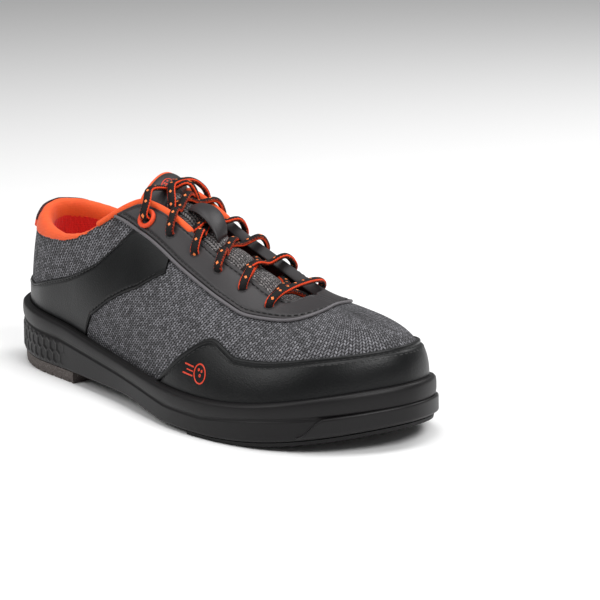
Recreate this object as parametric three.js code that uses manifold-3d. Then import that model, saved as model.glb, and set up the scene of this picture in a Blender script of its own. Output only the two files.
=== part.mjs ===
// Lace-up bowling shoe for the right foot, in millimetres: +X towards the toe, +Y towards the
// other foot, +Z up. A knitted upper carries leather overlays, and stands in a rubber cupsole
// whose forefoot and heel pads are held by hook-and-loop layers and peel off.
import * as THREE from "three";
import { mergeVertices } from "three/addons/utils/BufferGeometryUtils.js";
import Module from "manifold-3d";

// ---- driving dimensions ----------------------------------------------------------------
const LENGTH = 300; // cupsole, heel to toe
const BALL_WIDTH = 113; // cupsole at the ball of the foot
const INSTEP_HEIGHT = 117; // ground to the crest of the throat
const HEEL_LIP = 35.5; // ground to the cupsole's rim at the heel
const TOE_SPRING = 10.5; // rise of the sole's underside at the toe
const SPRING_START = 215; // where the toe spring begins
const GAP = 0.4; // clearance between neighbouring pieces
const OVERLAY_GAP = 0.7; // clearance between the knit and the leather on it

const MESH_T = 1.2; // knitted upper
const LEATHER_T = 1.2; // overlays and tongue panel
const STIFFENER_T = 0.8; // toe puff and heel counter
const LINING_T = 1.0;
const COLLAR_T = 5; // foam inside the collar
const ROLL_R = 3.8; // rolled edge of the collar
const PIPING_R = 0.9; // binding along the throat

const SOLE_WALL = 2.5; // cupsole wall at its rim
const HEEL_BLOCK_T = 6; // wedge under the heel
const WEDGE_END = 135; // where the wedge runs out
const BOARD_T = 1.5;
const INSOLE_T = 4;
const SHANK_T = 1.2;
const SHANK_W = 16;
const HOOK_T = 0.6; // each hook or loop layer
const HEEL_PAD_T = 6.4;
const SOLE_PAD_T = 1.9;
const WAIST_RISE = 6.6; // ground to the sole's underside at the waist
const BUMPER_T = 1.3;

const LACE_D = 2.6;
const HOLE_D = 5.8;
const AGLET_D = 2.8;
const AGLET_L = 18;
const TONGUE_T = 3.5;
const TONGUE_EXTRA = 17; // how far the tongue stands above the throat
const KEEPER_W = 13; // leather loop over the laces
const KEEPER_L = 23;
const KEEPER_T = 1.2;
const RING_R = 4.6; // corded ring round the top hole
const RING_CORD = 1.1;

// ---- the last: stations round the shoe -------------------------------------------------
// Station 0 is the back of the heel and station 9 the toe. The pattern below is drawn for a
// sole of 300 x 113 and an instep of 117, and graded to the sizes above.
const PATTERN = { length: 300, width: 113, instep: 117, lip: 35.5 };
const TOE = 9;
const LOOP = 2 * TOE;
const OUTLINE_LATERAL = [
  [0, 0], [8.5, -21.5], [37, -36], [78, -41], [127, -47],
  [192, -58.5], [239, -55], [271, -40.5], [291.5, -17], [299.7, 12],
];
const OUTLINE_MEDIAL = [
  [0, 0], [8.5, 21.5], [36, 36], [72, 35.5], [112, 34],
  [156, 41], [206, 51], [243, 51.5], [283, 40], [299.7, 12],
];
// Throat line of each station: x, half gap, height, sideways place of its middle; then the
// length of the lower and upper handle of the wall's curve, the wall's lean and its roll-over.
const THROAT = [
  [20, 0, 106, 0, 26, 30, 0, 72],
  [25, 12, 106, 0, 26, 30, 0, 72],
  [41, 23, 106, 0, 27, 30, 0.02, 74],
  [76, 25, 112, 0, 32, 30, 0.04, 70],
  [118, 6, 117, 2, 32, 30, 0.05, 38],
  [171, 0, 93, 5, 26, 34, 0.05, 15],
  [216, 0, 69, 7, 20, 38, 0.08, 6],
  [240, 0, 63.5, 8.5, 19, 38, 0.12, 5],
  [252, 0, 61.5, 9, 19, 35, 0.12, 5],
  [258, 0, 60.5, 9.5, 19, 33, 0.1, 5],
];
const LIP_X = [0, 60, 125, 190, 240, 300];
const LIP_Z = [35.5, 32.5, 24.5, 20.5, 22, 32];
const INSET = SOLE_WALL + 2 * GAP + LEATHER_T + 0.7; // feather line inside the cupsole's edge
const HEM = -0.1; // surface height of the upper's hem, under the feather line
const HEM_DEPTH = 4.5;
const FEATHER_DEPTH = 5; // rim of the cupsole down to the feather line
const STEP = 0.3; // stations between two columns of the cupsole

// ---- pattern lines, as pairs of station and surface height (0 feather line, 1 ridge) ------
const TOPLINE = [
  [0, 0.72], [1, 0.7], [2, 0.65], [2.9, 0.6], [3.28, 0.665], [3.6, 0.73], [3.93, 0.8], [4.29, 0.8],
  [4.61, 0.79], [5.02, 0.775], [5.52, 0.8], [5.91, 0.815], [6.15, 0.85], [6.3, 0.92], [6.4, 1], [9, 1],
];
const STAY_EDGE = [
  [3.5, 0.745], [3.61, 0.725], [3.97, 0.66], [4.61, 0.61], [5.18, 0.59], [5.64, 0.6], [5.92, 0.65],
  [6.16, 0.685], [6.42, 0.72], [6.7, 0.78], [6.95, 0.86], [7.1, 0.93], [7.18, 1],
];
const PANEL_TOP = [[0, 0.23], [1.77, 0.235], [2.85, 0.36], [3.48, 0.48], [3.97, 0.64], [4.61, 0.6], [5, 0.6]];
const PANEL_FRONT = [[3.2, 0], [3.3, 0.1], [3.39, 0.18], [3.72, 0.29], [4.18, 0.41], [4.61, 0.59]];
const GUARD_TOP = [
  [4.5, 0], [4.57, 0.02], [4.97, 0.25], [5.28, 0.385], [5.41, 0.415], [5.57, 0.395], [5.75, 0.37],
  [6.02, 0.385], [6.56, 0.41], [7.2, 0.44], [7.89, 0.46], [8.5, 0.485], [9, 0.495],
];
const [STAY_FROM, STAY_TO] = [3.62, STAY_EDGE.at(-1)[0]];
const PANEL_TO = 4.5;
const GUARD_FROM = 4.56;
// Lace holes of one side, from the toe end.
const HOLES = [[5.93, 0.74], [5.49, 0.72], [5.11, 0.71], [4.77, 0.71], [4.43, 0.715], [4.1, 0.725]];

const UP = new THREE.Vector3(0, 0, 1);
const wasm = await Module();
wasm.setup();

// ---- helpers: interpolation ----------------------------------------------------------------
const clamp = (x, low, high) => Math.min(Math.max(x, low), high);

function smooth(x) {
  const t = clamp(x, 0, 1);
  return t * t * (3 - 2 * t);
}

function catmull(p0, p1, p2, p3, t) {
  const a = 2 * p1;
  const b = (p2 - p0) * t;
  const c = (2 * p0 - 5 * p1 + 4 * p2 - p3) * t * t;
  const d = (3 * p1 - p0 - 3 * p2 + p3) * t * t * t;
  return 0.5 * (a + b + c + d);
}

// Smooth value of a table of rows that closes on itself, at the real index u.
function onLoop(rows, u) {
  const n = rows.length;
  const at = ((u % n) + n) % n;
  const i = Math.floor(at);
  const row = (k) => rows[(i + k + n) % n];
  return rows[0].map((_, c) => catmull(row(-1)[c], row(0)[c], row(1)[c], row(2)[c], at - i));
}

// Straight interpolation of [x, y] pairs.
function onLine(pairs, x) {
  const last = pairs.length - 1;
  if (x <= pairs[0][0]) return pairs[0][1];
  for (let i = 0; i < last; i++) {
    const [x0, y0] = pairs[i];
    const [x1, y1] = pairs[i + 1];
    if (x <= x1) return y0 + ((y1 - y0) * (x - x0)) / (x1 - x0);
  }
  return pairs[last][1];
}

// A pattern line is the same on both sides: station u past the toe reads as its mirror station.
const mirrored = (u) => {
  const at = ((u % LOOP) + LOOP) % LOOP;
  return at > TOE ? LOOP - at : at;
};

// ---- helpers: the last's surface -----------------------------------------------------------
const gradeX = (x) => (x * LENGTH) / PATTERN.length;
const gradeY = (y) => (y * BALL_WIDTH) / PATTERN.width;
const RISE = (INSTEP_HEIGHT - HEEL_LIP) / (PATTERN.instep - PATTERN.lip);
const gradeZ = (z) => HEEL_LIP + (z - PATTERN.lip) * RISE;

const medialRows = (rows) => rows.slice(1, TOE).reverse();
const OUTLINE = [...OUTLINE_LATERAL, ...medialRows(OUTLINE_MEDIAL)].map(([x, y]) => [gradeX(x), gradeY(y)]);
const throatRow = (side) => ([x, half, z, middle, ...shape]) => [
  gradeX(x), gradeY(side * half + middle), gradeZ(z), ...shape,
];
const THROAT_LOOP = [...THROAT.map(throatRow(-1)), ...medialRows(THROAT).map(throatRow(1))];

function lipZ(x) {
  const stations = LIP_X.map((lx, i) => [gradeX(lx), i]);
  const t = onLine(stations, clamp(x, 0, LENGTH));
  const i = Math.min(Math.floor(t), LIP_Z.length - 2);
  const z = (k) => LIP_Z[clamp(k, 0, LIP_Z.length - 1)];
  const before = i === 0 ? 2 * z(0) - z(1) : z(i - 1);
  const after = i === LIP_Z.length - 2 ? 2 * z(i + 1) - z(i) : z(i + 2);
  return (catmull(before, z(i), z(i + 1), after, t - i) * HEEL_LIP) / PATTERN.lip;
}

function outline(u, inset) {
  const [x, y] = onLoop(OUTLINE, u);
  const [xa, ya] = onLoop(OUTLINE, u - 0.01);
  const [xb, yb] = onLoop(OUTLINE, u + 0.01);
  const run = Math.hypot(xb - xa, yb - ya);
  return [x - ((yb - ya) / run) * inset, y + ((xb - xa) / run) * inset];
}

// Point of the upper's outer surface: a Bezier curve from the feather line up to the throat line.
function lastPoint(u, v) {
  const [x, y] = outline(u, INSET);
  const [ex, ey] = outline(u, INSET - 1);
  const [tx, ty, tz, low, high, lean, roll] = onLoop(THROAT_LOOP, u);
  const foot = new THREE.Vector3(x, y, lipZ(x) - FEATHER_DEPTH);
  if (v <= 0) return foot.setZ(foot.z + (v / -HEM) * HEM_DEPTH);
  const out = new THREE.Vector3(ex - x, ey - y, 0);
  const p1 = foot.clone().addScaledVector(UP, low).addScaledVector(out, low * lean);
  const top = new THREE.Vector3(tx, ty, tz);
  const away = foot.clone().sub(top).setZ(0).normalize();
  const angle = THREE.MathUtils.degToRad(roll);
  const p2 = top.clone().addScaledVector(away, high * Math.cos(angle));
  p2.z -= high * Math.sin(angle);
  return new THREE.CubicBezierCurve3(foot, p1, p2, top).getPoint(v);
}

function rawNormal(u, v) {
  const du = lastPoint(u + 0.02, v).sub(lastPoint(u - 0.02, v));
  const dv = lastPoint(u, v + 0.01).sub(lastPoint(u, v - 0.01));
  return du.cross(dv).normalize();
}

// Outward normal. On the ridge, where both sides meet, it is the mean of theirs.
function lastNormal(u, v) {
  const inside = clamp(v, 0.012, 0.975);
  const n = rawNormal(u, inside);
  if (v > 0.9) n.lerp(n.clone().add(rawNormal(LOOP - u, inside)).multiplyScalar(0.5), (v - 0.9) * 10);
  return n.normalize();
}

const offLast = (u, v, d) => lastPoint(u, v).addScaledVector(lastNormal(u, v), d);
const topline = (u) => onLine(TOPLINE, mirrored(u));

// ---- helpers: solids -----------------------------------------------------------------------
const quad = (a, b, c, d) => [a, b, c, a, c, d];

// Triangles of a sheet with thickness: its outer and inner grid of points, and the walls wanted.
function thickSheet(outer, inner, walls = {}) {
  const { start = true, end = true, low = () => true, high = () => true } = walls;
  const n = outer.length - 1;
  const m = outer[0].length - 1;
  const points = [];
  for (let i = 0; i < n; i++) {
    for (let j = 0; j < m; j++) {
      points.push(...quad(outer[i][j], outer[i + 1][j], outer[i + 1][j + 1], outer[i][j + 1]));
      points.push(...quad(inner[i][j], inner[i][j + 1], inner[i + 1][j + 1], inner[i + 1][j]));
    }
    if (low(i)) points.push(...quad(outer[i][0], inner[i][0], inner[i + 1][0], outer[i + 1][0]));
    if (high(i)) points.push(...quad(outer[i + 1][m], inner[i + 1][m], inner[i][m], outer[i][m]));
  }
  for (let j = 0; j < m; j++) {
    if (start) points.push(...quad(outer[0][j + 1], inner[0][j + 1], inner[0][j], outer[0][j]));
    if (end) points.push(...quad(outer[n][j], inner[n][j], inner[n][j + 1], outer[n][j + 1]));
  }
  return points;
}

// Joins the triangles' shared corners, and drops those that shrank to a line.
function weld(points) {
  const flat = new Float32Array(points.flatMap((p) => [p.x, p.y, p.z]));
  const loose = new THREE.BufferGeometry().setAttribute("position", new THREE.BufferAttribute(flat, 3));
  const merged = mergeVertices(loose, 2e-3);
  const index = [];
  for (let i = 0; i < merged.index.count; i += 3) {
    const [a, b, c] = [0, 1, 2].map((k) => merged.index.getX(i + k));
    if (a !== b && b !== c && a !== c) index.push(a, b, c);
  }
  return merged.setIndex(index);
}

function solidOf(geometry) {
  const bare = geometry.clone();
  bare.deleteAttribute("normal");
  bare.deleteAttribute("uv");
  const merged = mergeVertices(bare, 1e-4);
  const mesh = new wasm.Mesh({
    numProp: 3,
    vertProperties: merged.attributes.position.array,
    triVerts: new Uint32Array(merged.index.array),
  });
  return new wasm.Manifold(mesh);
}

function geometryOf(solid) {
  const mesh = solid.getMesh();
  return new THREE.BufferGeometry()
    .setAttribute("position", new THREE.BufferAttribute(mesh.vertProperties, 3))
    .setIndex(new THREE.BufferAttribute(mesh.triVerts, 1));
}

const cut = (geometry, tools) =>
  geometryOf(tools.reduce((solid, tool) => solid.subtract(solidOf(tool)), solidOf(geometry)));

const range = (n, from, to) => Array.from({ length: n + 1 }, (_, i) => from + ((to - from) * i) / n);

// Grid of stations and heights between two side lines (u as a function of v) and two edge lines.
function gridOn({ left, right, low, high, columns, rows }) {
  return range(columns, 0, 1).map((a) =>
    range(rows, 0, 1).map((b) => {
      let u = left(0.4) + (right(0.4) - left(0.4)) * a;
      let v = 0;
      for (let turn = 0; turn < 4; turn++) {
        v = low(u) + (high(u) - low(u)) * b;
        u = left(v) + (right(v) - left(v)) * a;
      }
      return [u, v];
    }),
  );
}

// Layer of the upper between two depths under its outer surface. Both sides join on the ridge.
function layer(area, top, bottom, walls = {}) {
  const grid = gridOn(area);
  const at = (depth) => grid.map((line) => line.map(([u, v]) => offLast(u, v, depth(u, v))));
  const onRidge = (i) => grid[i].at(-1)[1] > 0.9999;
  const high = (i) => !(onRidge(i) && onRidge(i + 1));
  return thickSheet(at(top), at(bottom), { ...walls, high });
}

const fixed = (value) => () => value;

// Flat-lying piece across the sole, from station s0 to s1, between two heights.
function slab({ s0, s1, inset, bottom, top, columns = 18, rows = 2 }) {
  const grid = range(columns, s0, s1).map((s) => {
    const [xa, ya] = outline(s, inset);
    const [xb, yb] = outline(LOOP - s, inset);
    return range(rows, 0, 1).map((w) => [xa + (xb - xa) * w, ya + (yb - ya) * w]);
  });
  const at = (height) => grid.map((line) => line.map(([x, y]) => new THREE.Vector3(x, y, height(x))));
  return weld(thickSheet(at(top), at(bottom)));
}

// Closed tube with even sides along a curve.
function tube(curve, radius, steps, sides = 8) {
  const ring = range(sides, 0, 2 * Math.PI).slice(0, -1);
  const corner = (a) => new THREE.Vector2(Math.cos(a) * radius, Math.sin(a) * radius);
  const shape = new THREE.Shape(ring.map(corner));
  return new THREE.ExtrudeGeometry(shape, { steps, bevelEnabled: false, extrudePath: curve });
}

const group = new THREE.Group();

function add(name, geometry, color, roughness = 0.8, metalness = 0) {
  const mesh = new THREE.Mesh(geometry, new THREE.MeshStandardMaterial({ color, roughness, metalness }));
  mesh.name = name;
  group.add(mesh);
}

const COLOUR = {
  rubber: 0x19171a, black: 0x121517, leather: 0x4a4748, mesh: 0x58575a, orange: 0xe4652f,
  red: 0xd21f23, felt: 0x6a625f, board: 0xa08a68, foam: 0xd9d2c4, steel: 0x9a9da0,
};

// ---- sole heights ------------------------------------------------------------------------
const SPRING_FROM = gradeX(SPRING_START);
const spring = (x) => clamp((x - SPRING_FROM) / (LENGTH - SPRING_FROM), 0, 1) ** 2 * TOE_SPRING;
// The sole's underside is a rim round a recess that holds the hook-and-loop layers.
const RIM_W = 3;
const RECESS = 2 * (HOOK_T + GAP);
const rimBottom = (x) => {
  const toWaist = smooth((x - gradeX(85)) / gradeX(20));
  const toFront = smooth((x - gradeX(135)) / gradeX(52));
  const [heel, front] = [HEEL_PAD_T + GAP, SOLE_PAD_T + GAP];
  return heel + (WAIST_RISE - heel) * toWaist + (front - WAIST_RISE) * toFront + spring(x);
};
const recessTop = (x) => {
  const waist = smooth((x - gradeX(88)) / gradeX(6)) * (1 - smooth((x - gradeX(150)) / gradeX(6)));
  return rimBottom(x) + RECESS * (1 - waist);
};
const boardTop = (x) => lipZ(x) - FEATHER_DEPTH - HEM_DEPTH - GAP - 0.3;
const boardBottom = (x) => boardTop(x) - BOARD_T;
const wedgeTop = (x) => boardBottom(x) - GAP;
const WEDGE_EDGE_T = 1.6; // thickness the wedge runs out to
const wedgeBottom = (x) => {
  const full = 1 - smooth((x - gradeX(50)) / gradeX(80));
  return wedgeTop(x) - WEDGE_EDGE_T - (HEEL_BLOCK_T - WEDGE_EDGE_T) * full;
};
const floorTop = (x) => {
  const behind = 1 - smooth((x - gradeX(WEDGE_END + 4)) / gradeX(14));
  return boardBottom(x) - 1.5 * GAP - behind * (wedgeTop(x) - wedgeBottom(x) + GAP);
};

// ---- sole ----------------------------------------------------------------------------------
function cupsole() {
  const wall = [
    [0.7, lipZ],
    [0, (x) => lipZ(x) - 2],
    [0, (x) => rimBottom(x) + 1.5],
    [1, rimBottom],
    [RIM_W, rimBottom],
    [RIM_W, recessTop],
  ];
  const well = [
    [SOLE_WALL, lipZ],
    [SOLE_WALL, (x) => lipZ(x) - 3],
    [SOLE_WALL, (x) => lipZ(x) - 6],
    [SOLE_WALL, (x) => floorTop(x) + 1.5],
    [SOLE_WALL + 0.3, (x) => floorTop(x) + 0.5],
    [SOLE_WALL + 1, floorTop],
  ];
  const across = [0.25, 0.5, 0.75];
  const section = (s, levels) => {
    const side = (u) => levels.map(([inset, height]) => {
      const [x] = outline(u, 0);
      return new THREE.Vector3(...outline(u, inset), height(x));
    });
    const [a, b] = [side(s), side(LOOP - s)];
    const [ea, eb] = [a.at(-1), b.at(-1)];
    const middle = across.map((w) => ea.clone().lerp(eb, w));
    return [...a, ...middle, ...b.reverse()];
  };
  const stations = range(TOE / STEP, 0, TOE);
  const outer = stations.map((s) => section(s, wall));
  const inner = stations.map((s) => section(s, well));
  return weld(thickSheet(inner, outer, { start: false, end: false }));
}

function sole() {
  add("cupsole", cupsole(), COLOUR.rubber, 0.6);
  add("toe_bumper", toeBumper(), COLOUR.rubber, 0.55);
  const heel = { s0: 0.25, s1: 3.05, columns: 10 };
  const sole = { s0: 5.2, s1: 8.75, columns: 16 };
  const stack = (name, area, thick, base, padColour) => {
    const level = (z) => (x) => base(x) + z;
    const within = RIM_W + GAP;
    const layers = [
      [name + "_pad", 1.2, 0, thick, padColour],
      [name + "_pad_backing", within, thick + GAP, HOOK_T, COLOUR.black],
      [name + "_hook_layer", within, thick + HOOK_T + 1.7 * GAP, HOOK_T, COLOUR.black],
    ];
    for (const [node, inset, z, t, color] of layers) {
      add(node, slab({ ...area, inset, bottom: level(z), top: level(z + t) }), color, 0.9);
    }
  };
  stack("heel", heel, HEEL_PAD_T, () => 0, COLOUR.felt);
  stack("sole", sole, SOLE_PAD_T, spring, COLOUR.rubber);
  const wedge = slab({ s0: 0.5, s1: 4.1, inset: 5, bottom: wedgeBottom, top: wedgeTop, columns: 12 });
  add("heel_wedge", cut(wedge, [shank(GAP)]), COLOUR.foam);
  add("shank", shank(0), COLOUR.steel, 0.4, 0.9);
  const full = { s0: 0.25, s1: 8.75, columns: 24 };
  const board = { ...full, inset: SOLE_WALL + 1 + GAP, bottom: boardBottom, top: boardTop };
  add("insole_board", slab(board), COLOUR.board);
  const bottom = (x) => boardTop(x) + GAP;
  const top = (x) => boardTop(x) + GAP + INSOLE_T;
  const inset = INSET + MESH_T + STIFFENER_T + LINING_T + 3 * GAP + 0.3;
  add("insole", slab({ ...full, inset, bottom, top }), COLOUR.red);
}

// Flat spring strip let into the top of the wedge; grown on all sides for its slot.
function shank(grow) {
  const [from, to] = [gradeX(48), gradeX(112)];
  const half = SHANK_W / 2 + grow;
  const lines = range(6, from - grow, to + grow).map((x) => [-half, half].map((y) => [x, y]));
  const at = (drop) => lines.map((line) => line.map(([x, y]) => new THREE.Vector3(x, y, wedgeTop(x) - drop)));
  return weld(thickSheet(at(grow ? -1 : 0), at(SHANK_T + grow)));
}

// Raised rubber round the front of the wall, whose top edge climbs in an S at its lateral end.
function toeBumper() {
  const [from, to] = [6.45, 11.4];
  const share = (u) => 0.1 + 0.42 * smooth((u - from) / 0.9);
  const point = (u, w, out) => {
    const [x] = outline(u, 0);
    const base = rimBottom(x) + 1.5;
    const top = base + (lipZ(x) - rimBottom(x) - 4) * share(u);
    return new THREE.Vector3(...outline(u, -out), base + (top - base) * w);
  };
  const at = (out) => range(22, from, to).map((u) => range(2, 0, 1).map((w) => point(u, w, out)));
  return weld(thickSheet(at(GAP + BUMPER_T), at(GAP)));
}

// ---- upper ---------------------------------------------------------------------------------
const meshDepth = [fixed(0), fixed(-MESH_T)];
const stiffTop = -MESH_T - GAP;
const liningTop = stiffTop - STIFFENER_T - GAP;
const overlayDepth = [fixed(OVERLAY_GAP + LEATHER_T), fixed(OVERLAY_GAP)];
// Side seam of the knit and the lining, hidden under the side panel and the eyestay.
const seam = (v) => 3 + 1.7 * Math.max(v, 0);
const SEAM_HALF = 0.01;

// How far the lining stands in for the collar's foam: nothing low down, all of it near the edge.
const foamShare = (u) => 1 - smooth((Math.min(mirrored(u), 4) - 3.3) / 0.45);
const collarRise = (u, v) => smooth((v - (topline(u) - 0.34)) / 0.09) * foamShare(u);
const liningOuter = (u, v) => liningTop - COLLAR_T * collarRise(u, v);

function holeTools() {
  const tools = [];
  for (const [s, v] of HOLES) {
    for (const u of [s, LOOP - s]) {
      const tool = new THREE.CylinderGeometry(HOLE_D / 2, HOLE_D / 2, 14, 8);
      const turn = new THREE.Quaternion().setFromUnitVectors(new THREE.Vector3(0, 1, 0), lastNormal(u, v));
      const place = new THREE.Matrix4().compose(lastPoint(u, v), turn, new THREE.Vector3(1, 1, 1));
      tools.push(tool.applyMatrix4(place));
    }
  }
  return tools;
}

function frontArea(high = topline) {
  const left = (v) => seam(v) + SEAM_HALF;
  return { left, right: (v) => LOOP - left(v), low: fixed(HEM), high, columns: 32, rows: 8 };
}

function upperShells(tools) {
  add("vamp_mesh", cut(weld(layer(frontArea(), ...meshDepth)), tools), COLOUR.mesh);
  const edge = (u) => topline(u) - 0.004;
  const lining = [fixed(liningTop), fixed(liningTop - LINING_T)];
  add("vamp_lining", cut(weld(layer(frontArea(edge), ...lining)), tools), COLOUR.black);
  for (const [name, sign] of [["lateral", 1], ["medial", -1]]) {
    const side = [fixed(SEAM_HALF * sign), (v) => sign * (seam(v) - SEAM_HALF)];
    const [left, right] = sign > 0 ? side : side.reverse();
    const area = { left, right, low: fixed(HEM), high: topline, columns: 13, rows: 8 };
    add("quarter_mesh_" + name, cut(weld(layer(area, ...meshDepth)), tools), COLOUR.mesh);
  }
  const back = (v) => seam(v) - SEAM_HALF;
  const area = { left: (v) => -back(v), right: back, low: fixed(HEM), high: edge, columns: 24, rows: 9 };
  const depths = [liningOuter, (u, v) => liningOuter(u, v) - LINING_T];
  add("collar_lining", cut(weld(layer(area, ...depths)), tools), COLOUR.red);
}

function stiffeners() {
  const depths = [fixed(stiffTop - 0.2), fixed(stiffTop - STIFFENER_T)];
  const low = fixed(HEM);
  const toe = { left: fixed(7), right: fixed(11), low, high: fixed(0.62), columns: 12, rows: 5 };
  add("toe_puff", weld(layer(toe, ...depths)), COLOUR.board);
  const heel = { left: fixed(-2.4), right: fixed(2.4), low, high: fixed(0.3), columns: 16, rows: 4 };
  add("heel_counter", weld(layer(heel, ...depths)), COLOUR.board);
}

function collar() {
  const low = (u) => topline(u) - 0.235;
  const high = (u) => topline(u) - 0.012;
  const foam = { left: fixed(-3.05), right: fixed(3.05), low, high, columns: 26, rows: 4 };
  const depths = [fixed(stiffTop - 0.6), (u) => liningTop - COLLAR_T * foamShare(u) + GAP + 0.1];
  add("collar_foam", weld(layer(foam, ...depths)), COLOUR.foam);
  const rim = (u) => {
    const middle = (-MESH_T + liningTop - COLLAR_T) / 2;
    return offLast(u, topline(u), middle).addScaledVector(UP, ROLL_R + GAP + 0.4);
  };
  const roll = new THREE.CatmullRomCurve3(range(26, -3.45, 3.45).map(rim));
  add("collar_binding", tube(roll, ROLL_R, 30, 8), COLOUR.orange);
}

function overlays(tools) {
  const half = (from, to) => ({ left: fixed(from), right: fixed(to) });
  const guardTop = (u) => onLine(GUARD_TOP, mirrored(u));
  const guard = { ...half(GUARD_FROM, LOOP - GUARD_FROM), low: fixed(HEM), high: guardTop };
  add("toe_guard", weld(layer({ ...guard, columns: 34, rows: 4 }, ...overlayDepth)), COLOUR.black, 0.45);
  const panelTop = (u) => onLine(PANEL_TOP, mirrored(u));
  const panelLow = (u) => {
    const front = mirrored(u) - PANEL_FRONT[0][0];
    const height = onLine(PANEL_FRONT, mirrored(u)) + HEM * (1 - smooth(front / 0.1));
    return front < 0 ? HEM : height;
  };
  const panelEnds = { lateral: [SEAM_HALF, PANEL_TO], medial: [LOOP - PANEL_TO, LOOP - SEAM_HALF] };
  for (const [name, ends] of Object.entries(panelEnds)) {
    const area = { ...half(...ends), low: panelLow, high: panelTop, columns: 16, rows: 4 };
    add("side_panel_" + name, weld(layer(area, ...overlayDepth)), COLOUR.black, 0.45);
  }
  const stayLow = (u) => onLine(STAY_EDGE, mirrored(u)) + 0.012;
  const low = (u) => Math.min(stayLow(u), topline(u));
  const arm = (from, to) => {
    const area = { ...half(from, to), low, high: topline, columns: 16, rows: 3 };
    return layer(area, ...overlayDepth, from > TOE ? { start: false } : { end: false });
  };
  const stay = weld([...arm(STAY_FROM, STAY_TO), ...arm(LOOP - STAY_TO, LOOP - STAY_FROM)]);
  add("eyestay", cut(stay, tools), COLOUR.leather, 0.5);
  const tab = { ...half(-0.55, 0.55), low: (u) => panelTop(u) + 0.015, high: (u) => topline(u) - 0.02 };
  add("heel_tab", weld(layer({ ...tab, columns: 6, rows: 5 }, ...overlayDepth)), COLOUR.black, 0.7);
  for (const [name, sign] of [["lateral", -1], ["medial", 1]]) {
    const edge = (s) => {
      const u = sign < 0 ? s : LOOP - s;
      const rise = lastPoint(u, topline(u)).sub(lastPoint(u, topline(u) - 0.01)).normalize();
      return offLast(u, topline(u), -MESH_T).addScaledVector(rise, PIPING_R + GAP);
    };
    const line = new THREE.CatmullRomCurve3(range(12, STAY_FROM, 4.58).map(edge));
    add("throat_binding_" + name, tube(line, PIPING_R, 12, 6), COLOUR.orange);
  }
}

// ---- tongue --------------------------------------------------------------------------------
const TONGUE_DEPTH = -(MESH_T + STIFFENER_T + LINING_T + 4 * GAP + LACE_D + 1.9);
const STATION_L = gradeX(50); // length of one station along the throat
const tongueEdge = (s) => 0.62 + 0.14 * smooth((s - 5.4) / 0.8);

// Side edge of the tongue at station s, and the direction in which the surface climbs there.
function tongueSide(u) {
  const v = tongueEdge(mirrored(u));
  const rise = lastPoint(u, v + 0.02).sub(lastPoint(u, v - 0.02)).normalize();
  return [offLast(u, v, TONGUE_DEPTH), rise];
}

// Top face of the tongue: an arch from side to side, carried straight on above the throat.
function tonguePoint(s, w, lift = 0) {
  const at = Math.max(s, 4);
  const [a, ta] = tongueSide(at);
  const [b, tb] = tongueSide(LOOP - at);
  const crest = onLoop(THROAT_LOOP, at)[2] + TONGUE_DEPTH - 3 * smooth((at - 4) / 0.7);
  const reach = (crest - (a.z + b.z) / 2) / (0.375 * (ta.z + tb.z));
  const arch = new THREE.CubicBezierCurve3(
    a, a.clone().addScaledVector(ta, reach), b.clone().addScaledVector(tb, reach), b,
  );
  const p = arch.getPoint((w + 1) / 2);
  if (s < 4) {
    const run = tonguePoint(4, w).sub(tonguePoint(4.2, w)).normalize();
    p.addScaledVector(run, (4 - s) * STATION_L);
  }
  return lift ? p.addScaledVector(tongueNormal(s, w), lift) : p;
}

function tongueNormal(s, w) {
  const at = Math.max(s, 4.02);
  const ds = tonguePoint(at + 0.02, w).sub(tonguePoint(at - 0.02, w));
  const dw = tonguePoint(at, Math.min(w + 0.02, 1)).sub(tonguePoint(at, Math.max(w - 0.02, -1)));
  return ds.cross(dw).normalize();
}

const tongueTop = (w) => 4 - TONGUE_EXTRA / STATION_L + 0.12 * w ** 4;
const TONGUE_BASE = 6.3;

function tongueLayer(from, to, high, low, inset = 1, columns = 12, rows = 8) {
  const grid = range(columns, 0, 1).map((a) =>
    range(rows, -inset, inset).map((w) => [from(w) + (to - from(w)) * a, w]),
  );
  const at = (lift) => grid.map((line) => line.map(([s, w]) => tonguePoint(s, w, lift)));
  return weld(thickSheet(at(high), at(low)));
}

function tongue() {
  const [lining, liningEnd] = [-TONGUE_T - GAP, -TONGUE_T - GAP - LINING_T];
  add("tongue", tongueLayer(tongueTop, TONGUE_BASE, 0, -TONGUE_T), COLOUR.mesh);
  add("tongue_lining", tongueLayer(tongueTop, TONGUE_BASE, lining, liningEnd, 0.97), COLOUR.black);
  const panelFrom = (w) => tongueTop(w) + 0.02;
  add("tongue_top_panel", tongueLayer(panelFrom, 3.99, GAP + 1, GAP, 0.72, 3, 8), COLOUR.leather, 0.5);
  const rim = (w) => tonguePoint(tongueTop(w) - (PIPING_R + GAP) / STATION_L, w, -TONGUE_T / 2);
  const line = new THREE.CatmullRomCurve3(range(14, -0.98, 0.98).map(rim));
  add("tongue_binding", tube(line, PIPING_R, 18, 6), COLOUR.orange);
  add("tongue_keeper", keeper(), COLOUR.leather, 0.5);
}

// Leather loop that holds the laces on the tongue: two feet and an arch over the crossing.
function keeper() {
  const half = KEEPER_L / 2 / STATION_L;
  const middle = (HOLES[3][0] + HOLES[4][0]) / 2;
  const rise = 2 * LACE_D + 4.2 * GAP;
  const height = (s) => GAP + rise * smooth((half - 0.04 - Math.abs(s - middle)) / 0.09);
  const wide = KEEPER_W / 60;
  const across = range(3, -wide, wide);
  const line = (extra) => (s) => across.map((w) => tonguePoint(s, w, height(s) + extra));
  const at = (extra) => range(12, middle - half, middle + half).map(line(extra));
  return weld(thickSheet(at(KEEPER_T), at(0)));
}

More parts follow.
